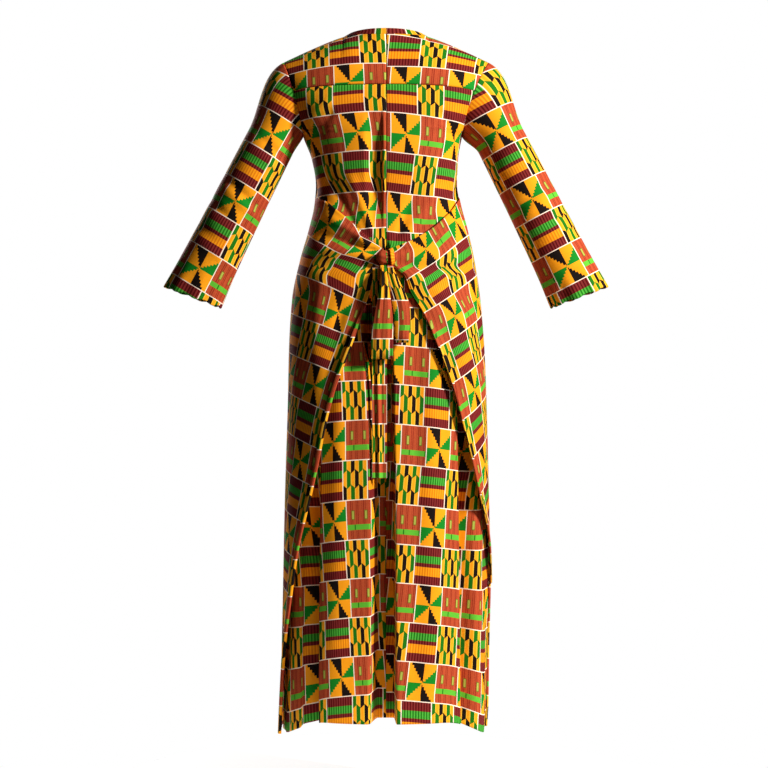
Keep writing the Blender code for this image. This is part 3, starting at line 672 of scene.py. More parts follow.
# down, the print's place along the row at the free edge, and its pace
WRAP_ALONG = {
    1: [(0.30, 0.420, 1.0), (0.415, 0.421, 1.0), (0.46, 0.433, 1.0), (0.51, 0.431, 1.16),
        (0.58, 0.429, 1.22), (1.362, 0.429, 1.22)],
    -1: [(0.30, 0.503, 1.15), (0.42, 0.503, 1.15), (0.46, 0.487, 1.18), (0.53, 0.492, 1.34),
         (0.60, 0.481, 1.32), (0.67, 0.477, 1.3), (0.74, 0.472, 1.28), (0.82, 0.470, 1.28),
         (1.362, 0.468, 1.28)],
}
FRONT_ALONG, FRONT_DOWN = -0.035, 0.066


def wrap_print(side):
    levels = np.linspace(0.0, 1.42, 285)
    edge, _ = wrap_curves(side)
    arcs = front_arc(side, edge(np.maximum(levels, 0.447)), np.clip(levels, 0.447, 1.362))
    bend = curve(*zip(*WRAP_BEND[side]))
    rows = WRAP_ALONG[side]
    place = curve([row[0] for row in rows], [row[1] for row in rows])
    pace = curve([row[0] for row in rows], [row[2] for row in rows])
    return (lambda down: np.interp(down, levels, arcs)), bend, place, pace


def front_cut(side, degrees, down):
    arc = front_arc(side, degrees, down)
    edge, bend, place, pace = WRAP_PRINT[side]
    on_wrap = place(down) - pace(down) * (edge(down) - arc)
    share = smooth((arc - 0.05) / 0.20)
    u = side * (on_wrap * share + arc * (1 - share)) + FRONT_ALONG * (1 - share)
    straight = WRAP_STRAIGHT[side]
    beyond = np.maximum(np.minimum(arc, straight) - 0.2, 0) ** 2
    beyond = beyond + 2 * (straight - 0.2) * np.maximum(arc - straight, 0)
    return np.stack([u, down + FRONT_DOWN - bend(down) * beyond], axis=-1)


WRAP_PRINT = {side: wrap_print(side) for side in (1, -1)}


def front_surface(side, degrees, down, lift=0.0):
    x, y = section(side, degrees, down, -lift)
    flare = smooth((down - 0.5) / 0.8)
    turned = np.radians(180 - degrees)
    wave = np.cos(2 * FRONT_FLUTES * turned) * FLUTE_DEPTH * flare * np.cos(turned / 1.2) ** 2
    return x, y + np.where(degrees > 90, wave, 0.0)


# Tension folds of the wings: from and to, as across and up, their width and height
WING_FOLDS = {
    1: [
        ((0.008, -0.426), (0.135, -0.345), 0.0085, 0.0042),
        ((0.004, -0.434), (0.150, -0.385), 0.0075, -0.0040),
        ((0.008, -0.440), (0.165, -0.415), 0.0080, 0.0036),
        ((0.010, -0.448), (0.150, -0.455), 0.0085, -0.0034),
        ((0.014, -0.458), (0.130, -0.505), 0.0090, 0.0032),
        ((0.018, -0.475), (0.110, -0.580), 0.0095, -0.0030),
        ((0.028, -0.428), (0.060, -0.398), 0.0090, 0.0050),
        ((0.120, -0.450), (0.150, -0.680), 0.0150, 0.0040),
        ((0.080, -0.500), (0.125, -0.800), 0.0140, -0.0034),
        ((0.150, -0.540), (0.170, -0.950), 0.0180, -0.0040),
    ],
    -1: [
        ((-0.010, -0.428), (-0.145, -0.355), 0.0085, 0.0042),
        ((-0.010, -0.437), (-0.155, -0.395), 0.0075, -0.0040),
        ((-0.012, -0.444), (-0.165, -0.430), 0.0080, 0.0036),
        ((-0.016, -0.453), (-0.150, -0.472), 0.0085, -0.0034),
        ((-0.022, -0.462), (-0.135, -0.525), 0.0095, 0.0032),
        ((-0.034, -0.484), (-0.120, -0.610), 0.0100, -0.0030),
        ((-0.135, -0.490), (-0.168, -0.740), 0.0160, 0.0040),
        ((-0.105, -0.550), (-0.155, -0.840), 0.0140, -0.0032),
    ],
}
# The backs' soft folds, in the same way
BACK_FOLDS = {
    1: [
        ((0.016, -0.420), (0.075, -0.262), 0.0085, 0.0034),
        ((0.046, -0.405), (0.128, -0.250), 0.0090, -0.0036),
        ((0.060, -0.395), (0.150, -0.300), 0.0090, 0.0030),
        ((0.095, -0.150), (0.150, -0.215), 0.0100, -0.0030),
        ((0.100, -0.130), (0.165, -0.180), 0.0090, 0.0024),
        ((0.085, -0.520), (0.100, -1.380), 0.0200, 0.0040),
        ((0.148, -0.620), (0.162, -1.620), 0.0150, -0.0120),
    ],
    -1: [
        ((-0.012, -0.420), (-0.065, -0.290), 0.0085, -0.0028),
        ((-0.028, -0.405), (-0.115, -0.290), 0.0090, 0.0032),
        ((-0.050, -0.395), (-0.145, -0.300), 0.0090, -0.0030),
        ((-0.095, -0.150), (-0.145, -0.215), 0.0100, -0.0028),
        ((-0.090, -0.480), (-0.085, -1.380), 0.0220, 0.0036),
        ((-0.060, -0.480), (-0.055, -1.380), 0.0150, -0.0024),
    ],
}
EDGE_ROLL = {1: 0.0019, -1: 0.0011}


def turned_edge(side, points, cut, level):
    """The wrap's free edge, turned over outwards by a few millimetres."""
    edge, before = points[:, -1], points[:, -2]
    ahead = edge - before
    ahead /= np.maximum(np.linalg.norm(ahead, axis=1, keepdims=True), 1e-9)
    out = np.array((0.0, 1.0, 0.0)) - ahead * ahead[:, 1:2]
    out /= np.linalg.norm(out, axis=1, keepdims=True)
    size = EDGE_ROLL[side] * smooth((level - 0.50) / 0.10) + 0.0005
    rows, places = [edge], [cut[:, -1]]
    for k in range(1, 10):
        turned = math.radians(min(30 * k, 180))
        back = max(k - 6, 0) * 0.7
        offset = ahead * (math.sin(turned) - back) + out * (1 - math.cos(turned))
        rows.append(edge + offset * size[:, None])
        places.append(cut[:, -1] + np.stack([-side * size * 0.5 * k, 0 * size], axis=1))
    return np.stack(rows, axis=1), np.stack(places, axis=1)


def make_front():
    steps = np.linspace(0, 1, 34)
    shares = np.linspace(0, 1, FRONT_COLUMNS)
    parts, cuts = {}, {}
    chest = float(-armhole(1, CHEST_ANGLE)[..., 2])
    above = np.linspace(chest, WAIST_ROW, WAIST_ROWS + 2)[1:-1]
    levels = np.concatenate([above, np.linspace(WAIST_ROW, HEM_DOWN, FRONT_ROWS)])
    for side in (1, -1):
        patch = upper_patch(side, shares, steps, front=True)[::-1]
        depth = run_down(patch)
        share = np.broadcast_to(shares, depth.shape)
        upper_cut = front_cut(side, 180 - 90 * share, np.full(depth.shape, chest))
        upper_cut[..., 1] += depth - depth[-1:]
        down = levels[:, None]
        last = np.maximum(side_angle(side, down), 90.001)
        degrees = 180 - (180 - last) * shares[None, :]
        x, y = front_surface(side, degrees, down)
        z = -down + hem_lean(down, FRONT_HEM_RISE) + 0 * x
        parts[side] = np.concatenate([patch, stack(x, y, z)])
        cuts[side] = np.concatenate([upper_cut, front_cut(side, degrees, down + 0 * degrees)])
    middle = np.concatenate([parts[-1][:, ::-1], parts[1][:, 1:]], axis=1)
    middle_cut = np.concatenate([cuts[-1][:, ::-1], cuts[1][:, 1:]], axis=1)
    grids = [(middle, middle_cut)]
    for side in (1, -1):
        edge, top = wrap_curves(side)
        down = levels[WAIST_ROWS:][:, None]
        share = np.linspace(0, 1, WING_COLUMNS)[None, :]
        first = np.maximum(side_angle(side, down), 90.001)
        last = edge(np.maximum(down, TIE_LEVEL))
        degrees = first + (last - first) * share
        fan = top(degrees)
        fan = fan + (TIE_LEVEL - fan) * (down - WAIST_ROW) / (TIE_LEVEL - WAIST_ROW)
        level = np.where(down < TIE_LEVEL, fan, down + 0 * degrees)
        level[:, 0] = down[:, 0]
        lift = WRAP_LIFT * share**2 * smooth((level - 0.50) / 0.2) * smooth((80 - last) / 40)
        x, y = front_surface(side, degrees, level, lift)
        z = -level + np.where(share > 0, 0, 1) * hem_lean(level, FRONT_HEM_RISE)
        points = stack(x, y, z)
        raised = waves(points, WING_FOLDS[side]) * smooth(y / 0.04)
        points = points + stack(0 * y, raised, 0 * y)
        cut = front_cut(side, degrees, level)
        grids.append((points, cut))
        grids.append(turned_edge(side, points, cut, level[:, -1]))
    return mesh_object("cloth_front", grids, body_outward)


def sleeve_pull(side, angle, front):
    c, s = np.cos(np.radians(angle)), np.sin(np.radians(angle))
    top, middle = np.array((0.90, 0, -0.44)), np.array((0.80, 0.10, -0.59))
    pull = top * (np.maximum(c, 0) ** 1.5)[..., None] + middle * (s * s)[..., None]
    pull = pull + SLEEVE_AXIS * (np.maximum(-c, 0) ** 1.5)[..., None]
    pull = pull * stack(side, np.where(front, -1, 1), 1)
    return pull / np.linalg.norm(pull, axis=-1, keepdims=True)


def sleeve_ring(side, angle, front, centre, half_width, half_depth):
    turned = np.radians(angle)
    over = np.array((-SLEEVE_AXIS[2], 0.0, SLEEVE_AXIS[0]))
    depth = np.where(front, -1, 1) * half_depth * np.sin(turned)
    points = centre + over * (half_width * np.cos(turned))[..., None]
    points = points + stack(0 * turned, depth, 0 * turned)
    return points * np.array((side, 1, 1))


# The sleeve's soft folds: radians round from the top, down the sleeve, their lengths, and height
SLEEVE_FOLDS = {
    1: [
        (1.9, 0.015, 0.7, 0.008, -0.0022),
        (2.2, 0.045, 0.9, 0.009, 0.0020),
        (1.5, 0.118, 0.9, 0.009, -0.0030),
        (1.9, 0.140, 0.8, 0.010, 0.0026),
        (1.1, 0.168, 0.9, 0.010, -0.0026),
        (0.9, 0.215, 0.7, 0.012, -0.0020),
        (2.0, 0.250, 0.8, 0.011, 0.0018),
        (-1.6, 0.130, 1.0, 0.012, -0.0026),
        (-1.2, 0.190, 0.9, 0.012, 0.0020),
    ],
    -1: [
        (1.9, 0.020, 0.7, 0.008, -0.0022),
        (2.1, 0.052, 0.9, 0.009, 0.0020),
        (1.6, 0.125, 0.9, 0.010, -0.0030),
        (1.8, 0.150, 0.8, 0.010, 0.0026),
        (1.2, 0.185, 0.9, 0.010, -0.0024),
        (1.0, 0.235, 0.8, 0.012, -0.0018),
        (-1.5, 0.140, 1.0, 0.012, -0.0026),
        (-1.3, 0.205, 0.9, 0.012, 0.0020),
    ],
}


def sleeve_folds(side, turn, length):
    total = 0 * length
    for place, level, wide, high, height in SLEEVE_FOLDS[side]:
        slope = level + 0.012 * (turn - place)
        total = total + height * np.exp(-(((turn - place) / wide) ** 2) - ((length - slope) / high) ** 2)
    return total


# The sleeve's print: the rows above the biceps ring, the place along the top line, pace and lean
SLEEVE_START = {1: 0.37, -1: 0.235}
SLEEVE_ALONG = {1: (-0.043, 0.0022), -1: (0.1227, -0.0010)}
SLEEVE_ROUND, SLEEVE_PACE = 0.0535, 0.95


def make_sleeve(side, name):
    count = SLEEVE_COLUMNS
    turn = np.arange(count) * 360 / count - 180
    front = turn < 0
    angle = np.abs(turn)
    pull = sleeve_pull(side, angle, front)
    start = armhole(side, angle) * stack(1, np.where(front, -1, 1), 1) - pull * 0.0012
    end = sleeve_ring(side, angle, front, BICEPS_CENTRE, BICEPS_HALF_WIDTH, BICEPS_HALF_DEPTH)
    length = np.linalg.norm(end - start, axis=-1, keepdims=True)
    axis = SLEEVE_AXIS * np.array((side, 1, 1))
    rows = [hermite(start, end, pull * length, axis * length, np.full(count, t)) for t in np.linspace(0, 1, 46)]
    for share in np.linspace(0, 1, 110)[1:]:
        centre = BICEPS_CENTRE + (CUFF_CENTRE - BICEPS_CENTRE) * share
        centre[1] = CUFF_CENTRE[1] * share**1.4
        half_width = BICEPS_HALF_WIDTH + (CUFF_HALF_WIDTH - BICEPS_HALF_WIDTH) * share + 0.004 * share**4
        half_depth = BICEPS_HALF_DEPTH + (CUFF_HALF_DEPTH - BICEPS_HALF_DEPTH) * share
        wave = np.cos(CUFF_WAVES * np.radians(turn)) * smooth((share - 0.80) / 0.20)
        ring = sleeve_ring(side, angle, front, centre, half_width - CUFF_WAVE * wave, half_depth - CUFF_WAVE * wave)
        longer = 0.015 * share**3 * np.cos(np.radians(angle) / 2) ** 2
        rows.append(ring + axis * (longer - CUFF_SCALLOP * wave)[:, None])
    last = rows[-1]
    away_from = last - last.mean(axis=0)
    away_from /= np.linalg.norm(away_from, axis=1, keepdims=True)
    for k in range(1, 9):
        turned = math.radians(22 * k)
        rolled = axis * (0.0024 * math.sin(turned)) - away_from * (0.0024 * (1 - math.cos(turned)))
        rows.append(last + rolled)
    points = np.array(rows)
    u = np.radians(turn) * SLEEVE_ROUND * side
    flat = points * np.array((side, 1, 1)) - BICEPS_CENTRE
    turns = (flat @ SLEEVE_AXIS / PITCH - SLEEVE_START[side]) * 1.02
    if side > 0:
        turns = turns + 0.06 * np.clip((0.100 - u) / 0.065, -1, 1)
    base, lean = SLEEVE_ALONG[side]
    cut = np.stack([base + SLEEVE_PACE * u + lean * turns, (turns + 2) * PITCH], axis=-1)
    swell = sleeve_folds(side, np.radians(turn), flat @ SLEEVE_AXIS)
    middle = points.mean(axis=1, keepdims=True)
    outward = points - middle
    outward /= np.linalg.norm(outward, axis=-1, keepdims=True)
    points = points + outward * swell[..., None]

    def away(p):
        q = p * np.array((side, 1, 1)) - BICEPS_CENTRE
        share = q @ SLEEVE_AXIS
        out = q - share[..., None] * SLEEVE_AXIS
        out[..., 1] -= CUFF_CENTRE[1] * np.clip(share, 0, 1) / 0.35
        return out * np.array((side, 1, 1))

    return mesh_object(name, [(points, cut)], away, turn_u=2 * math.pi * SLEEVE_ROUND * SLEEVE_PACE)


def neck_band():
    """A folded band: up the outside, over and down the inside of the neckline."""
    count = BAND_COLUMNS
    turn = np.arange(count) * 360 / count
    side = np.where(turn <= 180, 1.0, -1.0)
    degrees = np.where(turn <= 180, turn, 360 - turn)
    edge = neckline(side, degrees)
    middle = np.array((0, (BACK_NECK_Y + FRONT_NECK_Y) / 2, 0))
    inward = (middle - edge) * np.array((1, 1, 0))
    inward /= np.linalg.norm(inward, axis=1, keepdims=True)
    aside = np.abs(np.sin(np.radians(turn)))[:, None] ** 2
    stand = inward * (0.30 + 0.75 * aside) + np.array((0, 0, 0.95)) * (1 - 0.35 * aside)
    stand /= np.linalg.norm(stand, axis=1, keepdims=True)
    start = edge + stand * BAND_GAP + inward * 0.0002
    rows, lengths = [], []
    for k in range(25):
        turn_over = np.clip((k - 9) / 6, 0, 1) * math.pi
        share = min(k / 9, 1) if k < 16 else 1 - (k - 15) / 9
        up = BAND_HEIGHT * share - 0.0035 * (1 - share)
        bulge = 0.0008 * math.sin(turn_over)
        rows.append(start + stand * (up + bulge) + inward * (0.0008 * (1 - math.cos(turn_over))))
        lengths.append(k * 0.001)
    points = np.array(rows)
    round_neck = np.concatenate([[0], np.cumsum(np.linalg.norm(np.diff(edge, axis=0), axis=1))])
    u = 0.076 - round_neck * BAND_PRINT / BAND_LENGTH
    v = 2 * PITCH + 0.010 - np.array(lengths)[:, None]
    return mesh_object("cloth_neck_band", [(points, cut_places(u, v))], body_outward, wall=0.0005, turn_u=-BAND_PRINT)


def spline(places, count):
    """A smooth line through the places."""
    places = np.array(places, float)
    padded = np.concatenate([2 * places[:1] - places[1:2], places, 2 * places[-1:] - places[-2:-1]])
    made = []
    for t in np.linspace(0, len(places) - 1, count):
        i = min(int(t), len(places) - 2)
        f = t - i
        a, b, c, d = padded[i : i + 4]
        made.append(b + 0.5 * f * (c - a + f * (2 * a - 5 * b + 4 * c - d + f * (3 * (b - c) + d - a))))
    return np.array(made)


def make_loop(name, loop):
    first_u, last_u = loop["print"]
    top = LOOP_ROUTE[0][0]
    route = spline(LOOP_ROUTE, 150)
    stage = np.linspace(0, len(LOOP_ROUTE) - 1, 150)
    share = smooth((route[:, 0] - top) / (0.85 * (LOOP_END - top)))[:, None]
    width = loop["top_width"] + (loop["end_width"] - loop["top_width"]) * share
    middle = loop["top_x"] + (loop["end_x"] - loop["top_x"]) * share
    level = top + (route[:, :1] - top) * (loop["end"] - top) / (LOOP_END - top)
    swell = smooth((route[:, :1] - top) / 0.03)
    hip = np.exp(-((((route[:, :1] - top) / (LOOP_END - top) - 0.46) / 0.30) ** 2))
    width = width + swell * (loop["wider"][0] + loop["wider"][1] * hip)
    middle = middle + swell * (loop["moved"][0] + loop["moved"][1] * hip)
    across = np.linspace(-1, 1, 61)[None, :]
    over = (smooth(stage) * smooth(6 - stage))[:, None]
    crown = LOOP_CROWN * (1 - across**2) * over
    x = middle + across * width / 2
    y = route[:, 1:] + crown
    soft = 0 * across
    for place, reach, height in loop["pleats"]:
        soft = soft + height * np.exp(-(((across - place) / reach) ** 2))
    y = y + soft * (1 - 0.55 * share) * over
    points = stack(x, y, -level + 0 * across)
    path = run_down(points)[:, 30:31]
    u = (first_u + last_u) / 2 - (last_u - first_u) * (x - middle) / loop["end_width"]
    cut = cut_places(u, path - loop["lower"])

    def away(p):
        return stack(0 * p[..., 0], p[..., 1] - LOOP_MIDDLE_Y, 0.3 * (LOOP_MIDDLE_Z - p[..., 2]))

    return mesh_object(name, [(points, cut)], away)


def make_tail():
    down = np.linspace(TAIL_TOP, TAIL_END, 180)[:, None]
    across = np.linspace(-1, 1, 61)[None, :]
    leaves = float(back_depth(TAIL_LEAVES)) + TAIL_OVER
    y = np.where(
        down > TAIL_LEAVES,
        leaves + (TAIL_END_Y - leaves) * (down - TAIL_LEAVES) / (TAIL_END - TAIL_LEAVES),
        back_depth(down) + TAIL_OVER,
    )
    free = smooth((down - 0.47) / 0.06)
    wander = 0.12 * np.sin((down - TAIL_TOP) * 11.0)
    ridge = 0.0026 * np.exp(-(((across - 0.16 - wander) / 0.20) ** 2))
    valley = -0.0016 * np.exp(-(((np.abs(across - 0.12 - wander) - 0.48) / 0.20) ** 2))
    y = y + TAIL_RIDGE * (1 - np.abs(across)) + (ridge + valley) * free
    x = TAIL_CENTRE + across * TAIL_WIDTH / 2
    points = stack(x, y, -down + 0 * across)
    cut = cut_places(0.0935 - across * 0.027, 2 * PITCH - (down - TAIL_PRINT_DOWN) * 1.02)
    return mesh_object("cloth_tie_tail", [(points, cut)], lambda p: p * 0 + np.array((0, 1, 0)))


def make_knot():
    """The knot's two soft ends, which the band round its middle draws in."""
    across = np.linspace(-0.985, 0.985, 81)[None, :]
    turn = np.radians(np.linspace(-150, 150, 91))[:, None]
    waist = 1 - 0.24 * np.exp(-(((across + 0.30) / 0.38) ** 2))
    pleat = 1 + 0.045 * np.cos(7 * turn + 2.2 * across) * (1 - across**2)
    reach = np.sqrt(np.maximum(1 - np.abs(across) ** 2.6, 0)) * waist * pleat
    x = KNOT_CENTRE[0] + KNOT_HALF[0] * across + 0 * turn
    y = KNOT_CENTRE[1] + KNOT_HALF[1] * reach * np.cos(turn)
    z = KNOT_CENTRE[2] - KNOT_HALF[2] * reach * np.sin(turn)
    cut = cut_places(0.0935 - across * 0.025, 2 * PITCH - 0.004 + 0.005 * (turn - 1.2))
    return mesh_object("cloth_knot", [(stack(x, y, z), cut)], lambda p: p - KNOT_CENTRE)


def make_knot_band():
    """The band of cloth round the middle of the knot, with one fold along it."""
    turn = np.radians(np.linspace(-125, 125, 91))[:, None]
    across = np.linspace(0, 1, 61)[None, :]
    lift = 0.0016 * np.sin(math.pi * across) ** 0.6 + 0.0024 * np.exp(-(((across - 0.66) / 0.17) ** 2))
    lift = lift - 0.0022 * np.exp(-(((across - 0.36) / 0.07) ** 2))
    reach_y = KNOT_HALF[1] * 0.80 + lift
    reach_z = KNOT_HALF[2] * 0.82 + lift
    x = KNOT_CENTRE[0] + 0.0030 - 0.0180 * across - 0.0012 * np.sin(turn)
    y = KNOT_CENTRE[1] + reach_y * np.cos(turn)
    z = KNOT_CENTRE[2] - reach_z * np.sin(turn)
    cut = cut_places(0.020 + 0.0125 * turn, (0.36 + 0.30 * across) * PITCH)
    return mesh_object("cloth_knot_band", [(stack(x, y, z), cut)], lambda p: p - KNOT_CENTRE)


# The print


class Graph:
    """Short names for the nodes of one material."""

    def __init__(self, tree):
        self.tree = tree

    def node(self, kind, **settings):
        made = self.tree.nodes.new(kind)
        for name, value in settings.items():
            setattr(made, name, value)
        return made

    def feed(self, socket, value):
        if isinstance(value, bpy.types.NodeSocket):
            self.tree.links.new(value, socket)
        else:
            socket.default_value = value

    def math(self, operation, *values):
        made = self.node("ShaderNodeMath", operation=operation)
        for socket, value in zip(made.inputs, values):
            self.feed(socket, value)
        return made.outputs[0]

    def add(self, a, b):
        return self.math("ADD", a, b)

    def sub(self, a, b):
        return self.math("SUBTRACT", a, b)

    def mul(self, a, b):
        return self.math("MULTIPLY", a, b)

    def less(self, a, b):
        return self.math("LESS_THAN", a, b)

    def more(self, a, b):
        return self.math("GREATER_THAN", a, b)

    def both(self, *masks):
        found = masks[0]
        for mask in masks[1:]:
            found = self.mul(found, mask)
        return found

    def either(self, *masks):
        found = masks[0]
        for mask in masks[1:]:
            found = self.math("MAXIMUM", found, mask)
        return found

    def between(self, value, low, high):
        return self.both(self.more(value, low), self.less(value, high))

    def near(self, value, place, reach):
        return self.math("COMPARE", value, place, reach)

    def over(self, base, colour, mask):
        made = self.node("ShaderNodeMix", data_type="RGBA")
        self.feed(made.inputs["Factor"], mask)
        self.feed(made.inputs[6], base)
        self.feed(made.inputs[7], colour)
        return made.outputs[2]

    def steps(self, value, stops):
        made = self.node("ShaderNodeValToRGB")
        ramp = made.color_ramp
        ramp.interpolation = "CONSTANT"
        while len(ramp.elements) < len(stops):
            ramp.elements.new(0.5)
        for element, (place, colour) in zip(ramp.elements, stops):
            element.position = place
            element.color = colour
        self.feed(made.inputs[0], value)
        return made.outputs[0]


def srgb(red, green, blue):
    def linear(value):
        value /= 255
        return value / 12.92 if value <= 0.04045 else ((value + 0.055) / 1.055) ** 2.4

    return (linear(red), linear(green), linear(blue), 1.0)


ORANGE = srgb(253, 158, 18)
ORANGE_DEEP = srgb(226, 122, 4)
YELLOW = srgb(246, 184, 50)
MAROON = srgb(128, 40, 36)
MAROON_DEEP = srgb(84, 2, 4)
GREEN = srgb(16, 128, 30)
GREEN_BRIGHT = srgb(76, 170, 54)
GREEN_DEEP = srgb(26, 108, 14)
LIME = srgb(92, 176, 46)
RUST = srgb(180, 72, 38)
RUST_DEEP = srgb(126, 24, 10)
STRAW = srgb(172, 176, 70)
BLACK = srgb(20, 9, 5)
PALE = srgb(255, 232, 208)


def kente_material():
    made = bpy.data.materials.new("kente_cloth")
    made.use_nodes = True
    g = Graph(made.node_tree)
    shader = made.node_tree.nodes["Principled BSDF"]
    place = g.node("ShaderNodeUVMap", uv_map="cut")
    split = g.node("ShaderNodeSeparateXYZ")
    g.feed(split.inputs[0], place.outputs[0])
    u, v = split.outputs[0], split.outputs[1]
    rows = g.math("DIVIDE", v, PITCH)
    fy = g.math("FRACT", rows)
    parity = g.math("FLOORED_MODULO", g.math("FLOOR", rows), 2.0)
    second = g.more(parity, 0.5)

    # Rows with stripes and hexagons
    xa = g.math("FLOORED_MODULO", u, REPEAT)
    rib = g.more(g.math("SINE", g.mul(xa, 2 * math.pi * 11 / STRIPES)), 0.05)
    bright, deep = (
        g.steps(fy, [(0, red), (0.24, green), (0.43, red), (0.535, orange), (0.765, red)])
        for red, green, orange in ((MAROON, GREEN_BRIGHT, ORANGE), (MAROON_DEEP, GREEN_DEEP, ORANGE_DEEP))
    )
    stripes = g.over(bright, deep, rib)
    hx = g.math("DIVIDE", g.sub(xa, STRIPES), REPEAT - STRIPES)
    place_x = g.math("DIVIDE", hx, 0.166)
    k = g.math("FLOOR", place_x)
    t = g.math("DIVIDE", g.sub(place_x, k), 0.96)
    odd = g.more(g.math("FLOORED_MODULO", k, 2.0), 0.5)
    even = g.sub(1.0, odd)
    top_piece = g.both(even, g.less(fy, g.sub(0.335, g.mul(t, 0.085))))
    middle_piece = g.both(odd, g.less(g.math("ABSOLUTE", g.sub(fy, 0.47)), g.sub(0.25, g.mul(t, 0.085))))
    bottom_piece = g.both(even, g.more(fy, g.add(0.605, g.mul(t, 0.085))))
    inside = g.both(g.either(top_piece, middle_piece, bottom_piece), g.less(t, 1.0))
    is_black = g.either(
        g.both(odd, g.near(k, 3.0, 0.1)),
        g.both(top_piece, g.near(k, 2.0, 0.1)),
        g.both(bottom_piece, g.sub(1.0, g.near(k, 2.0, 0.1))),
    )
    ground = g.over(ORANGE, YELLOW, g.more(g.math("ABSOLUTE", g.sub(t, 0.5)), 0.32))
    hexes = g.over(ground, g.over(GREEN_DEEP, BLACK, is_black), inside)
    row_a = g.over(stripes, hexes, g.more(xa, STRIPES))
    line_a = g.either(g.near(xa, STRIPES, LINE), g.less(xa, LINE), g.more(xa, REPEAT - LINE))

    # Rows with pinwheels and rust blocks
    xb = g.math("FLOORED_MODULO", g.sub(u, PINWHEEL_START), REPEAT)
    px = g.math("DIVIDE", xb, PINWHEEL)
    stair_y = g.math("DIVIDE", g.math("FLOOR", g.mul(fy, 13.0)), 13.0)
    stair_x = g.math("DIVIDE", g.math("FLOOR", g.mul(px, 13.0)), 13.0)
    black_top = g.both(g.less(px, 0.53), g.less(fy, 0.5), g.more(px, g.add(0.10, g.mul(stair_y, 0.87))))
    green_right = g.both(
        g.more(px, 0.54), g.less(fy, 0.52), g.more(fy, g.sub(0.52, g.mul(g.sub(stair_x, 0.47), 0.80)))
    )
    green_left = g.both(
        g.less(px, 0.50), g.more(fy, 0.52), g.less(fy, g.add(0.52, g.mul(g.sub(0.50, stair_x), 0.80)))
    )
    black_bottom = g.both(
        g.more(px, 0.50), g.more(fy, 0.56), g.less(px, g.add(0.50, g.mul(g.sub(stair_y, 0.50), 0.86)))
    )
    wheel = g.over(ORANGE, BLACK, g.either(black_top, black_bottom))
    wheel = g.over(wheel, GREEN, g.either(green_right, green_left))
    rx = g.math("DIVIDE", g.sub(xb, PINWHEEL), REPEAT - PINWHEEL)
    fine = g.math("SINE", g.mul(xb, 2 * math.pi / 0.0039))
    broad = g.math("SINE", g.mul(xb, 2 * math.pi / 0.0131))
    streak = g.node("ShaderNodeTexNoise")
    streak.inputs["Scale"].default_value = 1.0
    streak.inputs["Detail"].default_value = 2.0
    fleck = g.node("ShaderNodeCombineXYZ")
    g.feed(fleck.inputs[0], g.mul(u, 520.0))
    g.feed(fleck.inputs[1], g.mul(v, 900.0))
    g.feed(streak.inputs["Vector"], fleck.outputs[0])
    lines = g.more(g.add(g.add(fine, g.mul(broad, 0.8)), g.mul(g.sub(streak.outputs[0], 0.5), 3.2)), 0.45)
    rust = g.over(RUST, RUST_DEEP, g.mul(lines, 0.8))
    rust = g.over(rust, srgb(196, 98, 50), g.mul(g.more(streak.outputs[0], 0.60), 0.5))
    tick_x = g.either(g.near(rx, 0.26, 0.062), g.near(rx, 0.76, 0.062))
    rust = g.over(rust, GREEN_DEEP, g.mul(g.both(tick_x, g.between(fy, 0.26, 0.50)), 0.65))
    ticks = g.both(g.either(g.near(rx, 0.26, 0.038), g.near(rx, 0.76, 0.038)), g.between(fy, 0.28, 0.48))
    rust = g.over(rust, STRAW, g.mul(ticks, 0.9))
    band = g.between(fy, 0.62, 0.755)
    gap = g.either(g.near(rx, 0.33, 0.022), g.more(rx, 0.93))
    rust = g.over(rust, LIME, band)
    rust = g.over(rust, GREEN_DEEP, g.both(band, gap))
    row_b = g.over(wheel, rust, g.more(xb, PINWHEEL))
    line_b = g.either(g.near(xb, PINWHEEL, LINE), g.less(xb, LINE), g.more(xb, REPEAT - LINE))

    colour = g.over(row_a, row_b, second)
    upright = g.either(g.both(line_a, g.sub(1.0, second)), g.both(line_b, second))
    level = g.either(g.less(fy, LINE / PITCH), g.more(fy, 1 - LINE / PITCH))
    colour = g.over(colour, PALE, g.either(upright, level))

    # Ink that is a little uneven, and the plain weave under it
    patch = g.node("ShaderNodeTexNoise")
    patch.inputs["Scale"].default_value = 60.0
    patch.inputs["Detail"].default_value = 3.0
    g.feed(patch.inputs["Vector"], place.outputs[0])
    tone = g.node("ShaderNodeMapRange")
    tone.inputs["To Min"].default_value = 0.90
    tone.inputs["To Max"].default_value = 1.06
    g.feed(tone.inputs["Value"], patch.outputs[0])
    shade = g.node("ShaderNodeMix", data_type="RGBA", blend_type="MULTIPLY")
    shade.inputs["Factor"].default_value = 1.0
    g.feed(shade.inputs[6], colour)
    grey = g.node("ShaderNodeCombineColor")
    for socket in grey.inputs:
        g.feed(socket, tone.outputs[0])
    g.feed(shade.inputs[7], grey.outputs[0])
    g.feed(shader.inputs["Base Color"], shade.outputs[2])
    shader.inputs["Roughness"].default_value = 0.82
    shader.inputs["Specular IOR Level"].default_value = 0.12
    thread_u = g.math("SINE", g.mul(u, 2 * math.pi / 0.0008))
    thread_v = g.math("SINE", g.mul(v, 2 * math.pi / 0.0008))
    slub = g.node("ShaderNodeTexNoise")
    slub.inputs["Scale"].default_value = 700.0
    g.feed(slub.inputs["Vector"], place.outputs[0])
    height = g.add(g.mul(g.mul(thread_u, thread_v), 0.5), slub.outputs[0])
    bump = g.node("ShaderNodeBump")
    bump.inputs["Strength"].default_value = 0.25
    bump.inputs["Distance"].default_value = 0.0002
    g.feed(bump.inputs["Height"], height)
    g.feed(shader.inputs["Normal"], bump.outputs[0])
    return made


kente = kente_material()


def dress(piece, node):
    piece.data.materials.append(kente)
    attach(piece, "root")
    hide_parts(node)


